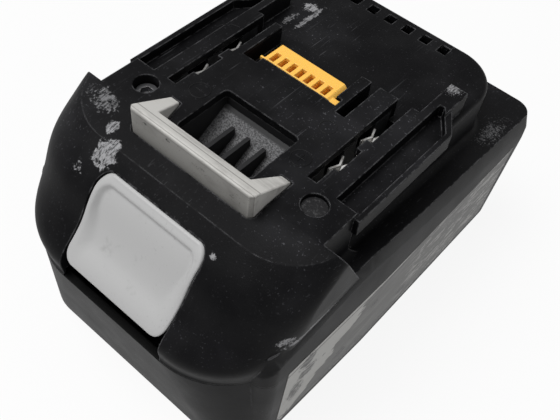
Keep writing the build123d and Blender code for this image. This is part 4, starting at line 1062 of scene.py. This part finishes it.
# Links and straps: thin nickel strip, punched and bent. The links are spot-welded to the
# cells' ends, and two straps lead to the board.
nickel_bright = (0.66, 0.64, 0.60, 1)
nickel_dull = (0.42, 0.40, 0.37, 1)
strip_brush = (900.0, 90.0, 900.0)
link_finish, tree, shade = new_finish("nickel_strip", rough=0.34, metal=1.0)
rolled = noise(tree, object_place(tree, stretch=strip_brush), 1.0, detail=2.0, rough=0.5)
scratches = use(tree, scratch_group, Amount=0.6)
colour = tint(tree, nickel_bright, nickel_dull, ramp(tree, rolled, 0.35, 0.7))
colour = tint(tree, colour, nickel_dull, scratches.outputs["Mask"])
coat(tree, shade, colour, rolled, depth=0.000005)
link_names = [
    "right_front_link", "right_rear_link", "positive_end_link",
    "left_front_link", "left_rear_link", "negative_end_link",
    "positive_strap", "negative_strap",
]
dress(link_finish, *link_names)


# Sense leads: thin wires in red silicone sleeves. They run from the links to the board and
# let it read each pair of cells.
sleeve_red = (0.30, 0.018, 0.014, 1)
sleeve_pale = (0.42, 0.05, 0.04, 1)
sleeve_finish = mottled_finish(
    "red_sleeve", sleeve_red, sleeve_pale, rough=0.5, pits=2000.0, mottle=(0.4, 0.7),
    depth=0.00001,
)
dress(sleeve_finish, "right_front_lead", "right_rear_lead", "left_front_lead", "left_rear_lead")


# Pads: closed-cell foam sheets cut to size and laid under and beside the cells, which they
# keep from rattling.
foam_grey = (0.05, 0.05, 0.052, 1)
foam_pore = (0.015, 0.015, 0.016, 1)
pores_per_metre = 1100.0
foam_finish, tree, shade = new_finish("closed_cell_foam", rough=0.9, gloss=0.2)
pores = tree.nodes.new("ShaderNodeTexVoronoi")
pores.inputs["Scale"].default_value = pores_per_metre
tree.links.new(object_place(tree), pores.inputs["Vector"])
open_pore = ramp(tree, pores.outputs["Distance"], 0.25, 0.5)
colour = tint(tree, foam_grey, foam_pore, open_pore)
coat(tree, shade, colour, pores.outputs["Distance"], depth=0.0001)
dress(foam_finish, "bottom_pad", "side_pad_left", "side_pad_right")


# Latch springs: two coils of oiled spring wire between the lower case and the carriage, with
# their end turns closed. In the pack they shorten as the latch is pressed; these coils keep one
# length.
wire_grey = (0.30, 0.29, 0.28, 1)
wire_dark = (0.10, 0.095, 0.09, 1)
spring_finish, tree, shade = new_finish("oiled_spring_wire", rough=0.3, metal=1.0)
scratches = use(tree, scratch_group, Amount=0.6)
stain = ramp(tree, noise(tree, object_place(tree), 500.0, detail=4.0, rough=0.6), 0.45, 0.72)
colour = tint(tree, wire_grey, wire_dark, stain)
colour = tint(tree, colour, tin_bright, scratches.outputs["Mask"])
tree.links.new(colour, shade.inputs["Base Color"])
dress(spring_finish, "latch_spring_left", "latch_spring_right")
spring_wire_radius = 0.00035
spring_turns = 6.0
spring_closed_turns = 1.0
spring_points_per_turn = 28
spring_wire_sides = 10


def spring_tree():
    made, given = start_maker("coil_spring", [
        ("Foot", "Vector"), ("Height", "Float"), ("Radius", "Float"), ("Turns", "Float"),
        ("Closed Turns", "Float"), ("Wire Radius", "Float"), ("Finish", "Material"),
    ])
    coil = made.nodes.new("GeometryNodeCurveSpiral")
    coil.inputs["Resolution"].default_value = spring_points_per_turn
    coil.inputs["Height"].default_value = 0.0
    made.links.new(given["Turns"], coil.inputs["Rotations"])
    made.links.new(given["Radius"], coil.inputs["Start Radius"])
    made.links.new(given["Radius"], coil.inputs["End Radius"])
    along = made.nodes.new("GeometryNodeSplineParameter")
    closed = calc(made, "DIVIDE", given["Closed Turns"], given["Turns"])
    opened = calc(made, "SUBTRACT", 1.0, closed)
    closed_rise = calc(made, "MULTIPLY", given["Wire Radius"], 2.0)
    closed_rise = calc(made, "MULTIPLY", closed_rise, given["Closed Turns"])
    open_rise = calc(made, "MULTIPLY", closed_rise, 2.0)
    open_rise = calc(made, "SUBTRACT", given["Height"], open_rise)
    rise = None
    for start, end, gain in (
        (0.0, closed, closed_rise), (closed, opened, open_rise), (opened, 1.0, closed_rise),
    ):
        part = made.nodes.new("ShaderNodeMapRange")
        made.links.new(along.outputs["Factor"], part.inputs["Value"])
        for label, value in (("From Min", start), ("From Max", end), ("To Max", gain)):
            if isinstance(value, float):
                part.inputs[label].default_value = value
            else:
                made.links.new(value, part.inputs[label])
        rise = part.outputs[0] if rise is None else calc(made, "ADD", rise, part.outputs[0])
    lift = made.nodes.new("ShaderNodeCombineXYZ")
    made.links.new(rise, lift.inputs["Z"])
    lifted = made.nodes.new("GeometryNodeSetPosition")
    made.links.new(coil.outputs["Curve"], lifted.inputs["Geometry"])
    made.links.new(lift.outputs[0], lifted.inputs["Offset"])
    thickened(
        made, lifted.outputs[0], given["Wire Radius"], spring_wire_sides, given["Foot"],
        given["Finish"],
    )
    return made


spring_maker = spring_tree()
for hand in ("left", "right"):
    low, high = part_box(f"latch_spring_{hand}")
    foot = ((low[0] + high[0]) / 2, (low[1] + high[1]) / 2, low[2] + spring_wire_radius)
    radius = (high[0] - low[0]) / 2 - spring_wire_radius
    height = high[2] - low[2] - 2 * spring_wire_radius
    coil = grow(
        f"coil_{hand}", spring_maker, Foot=foot, Height=height, Radius=radius,
        Turns=spring_turns, Closed_Turns=spring_closed_turns, Wire_Radius=spring_wire_radius,
        Finish=spring_finish,
    )
    coil.data.shade_smooth()
    settle(coil, "pack", f"latch_spring_{hand}")
    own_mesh(coil)
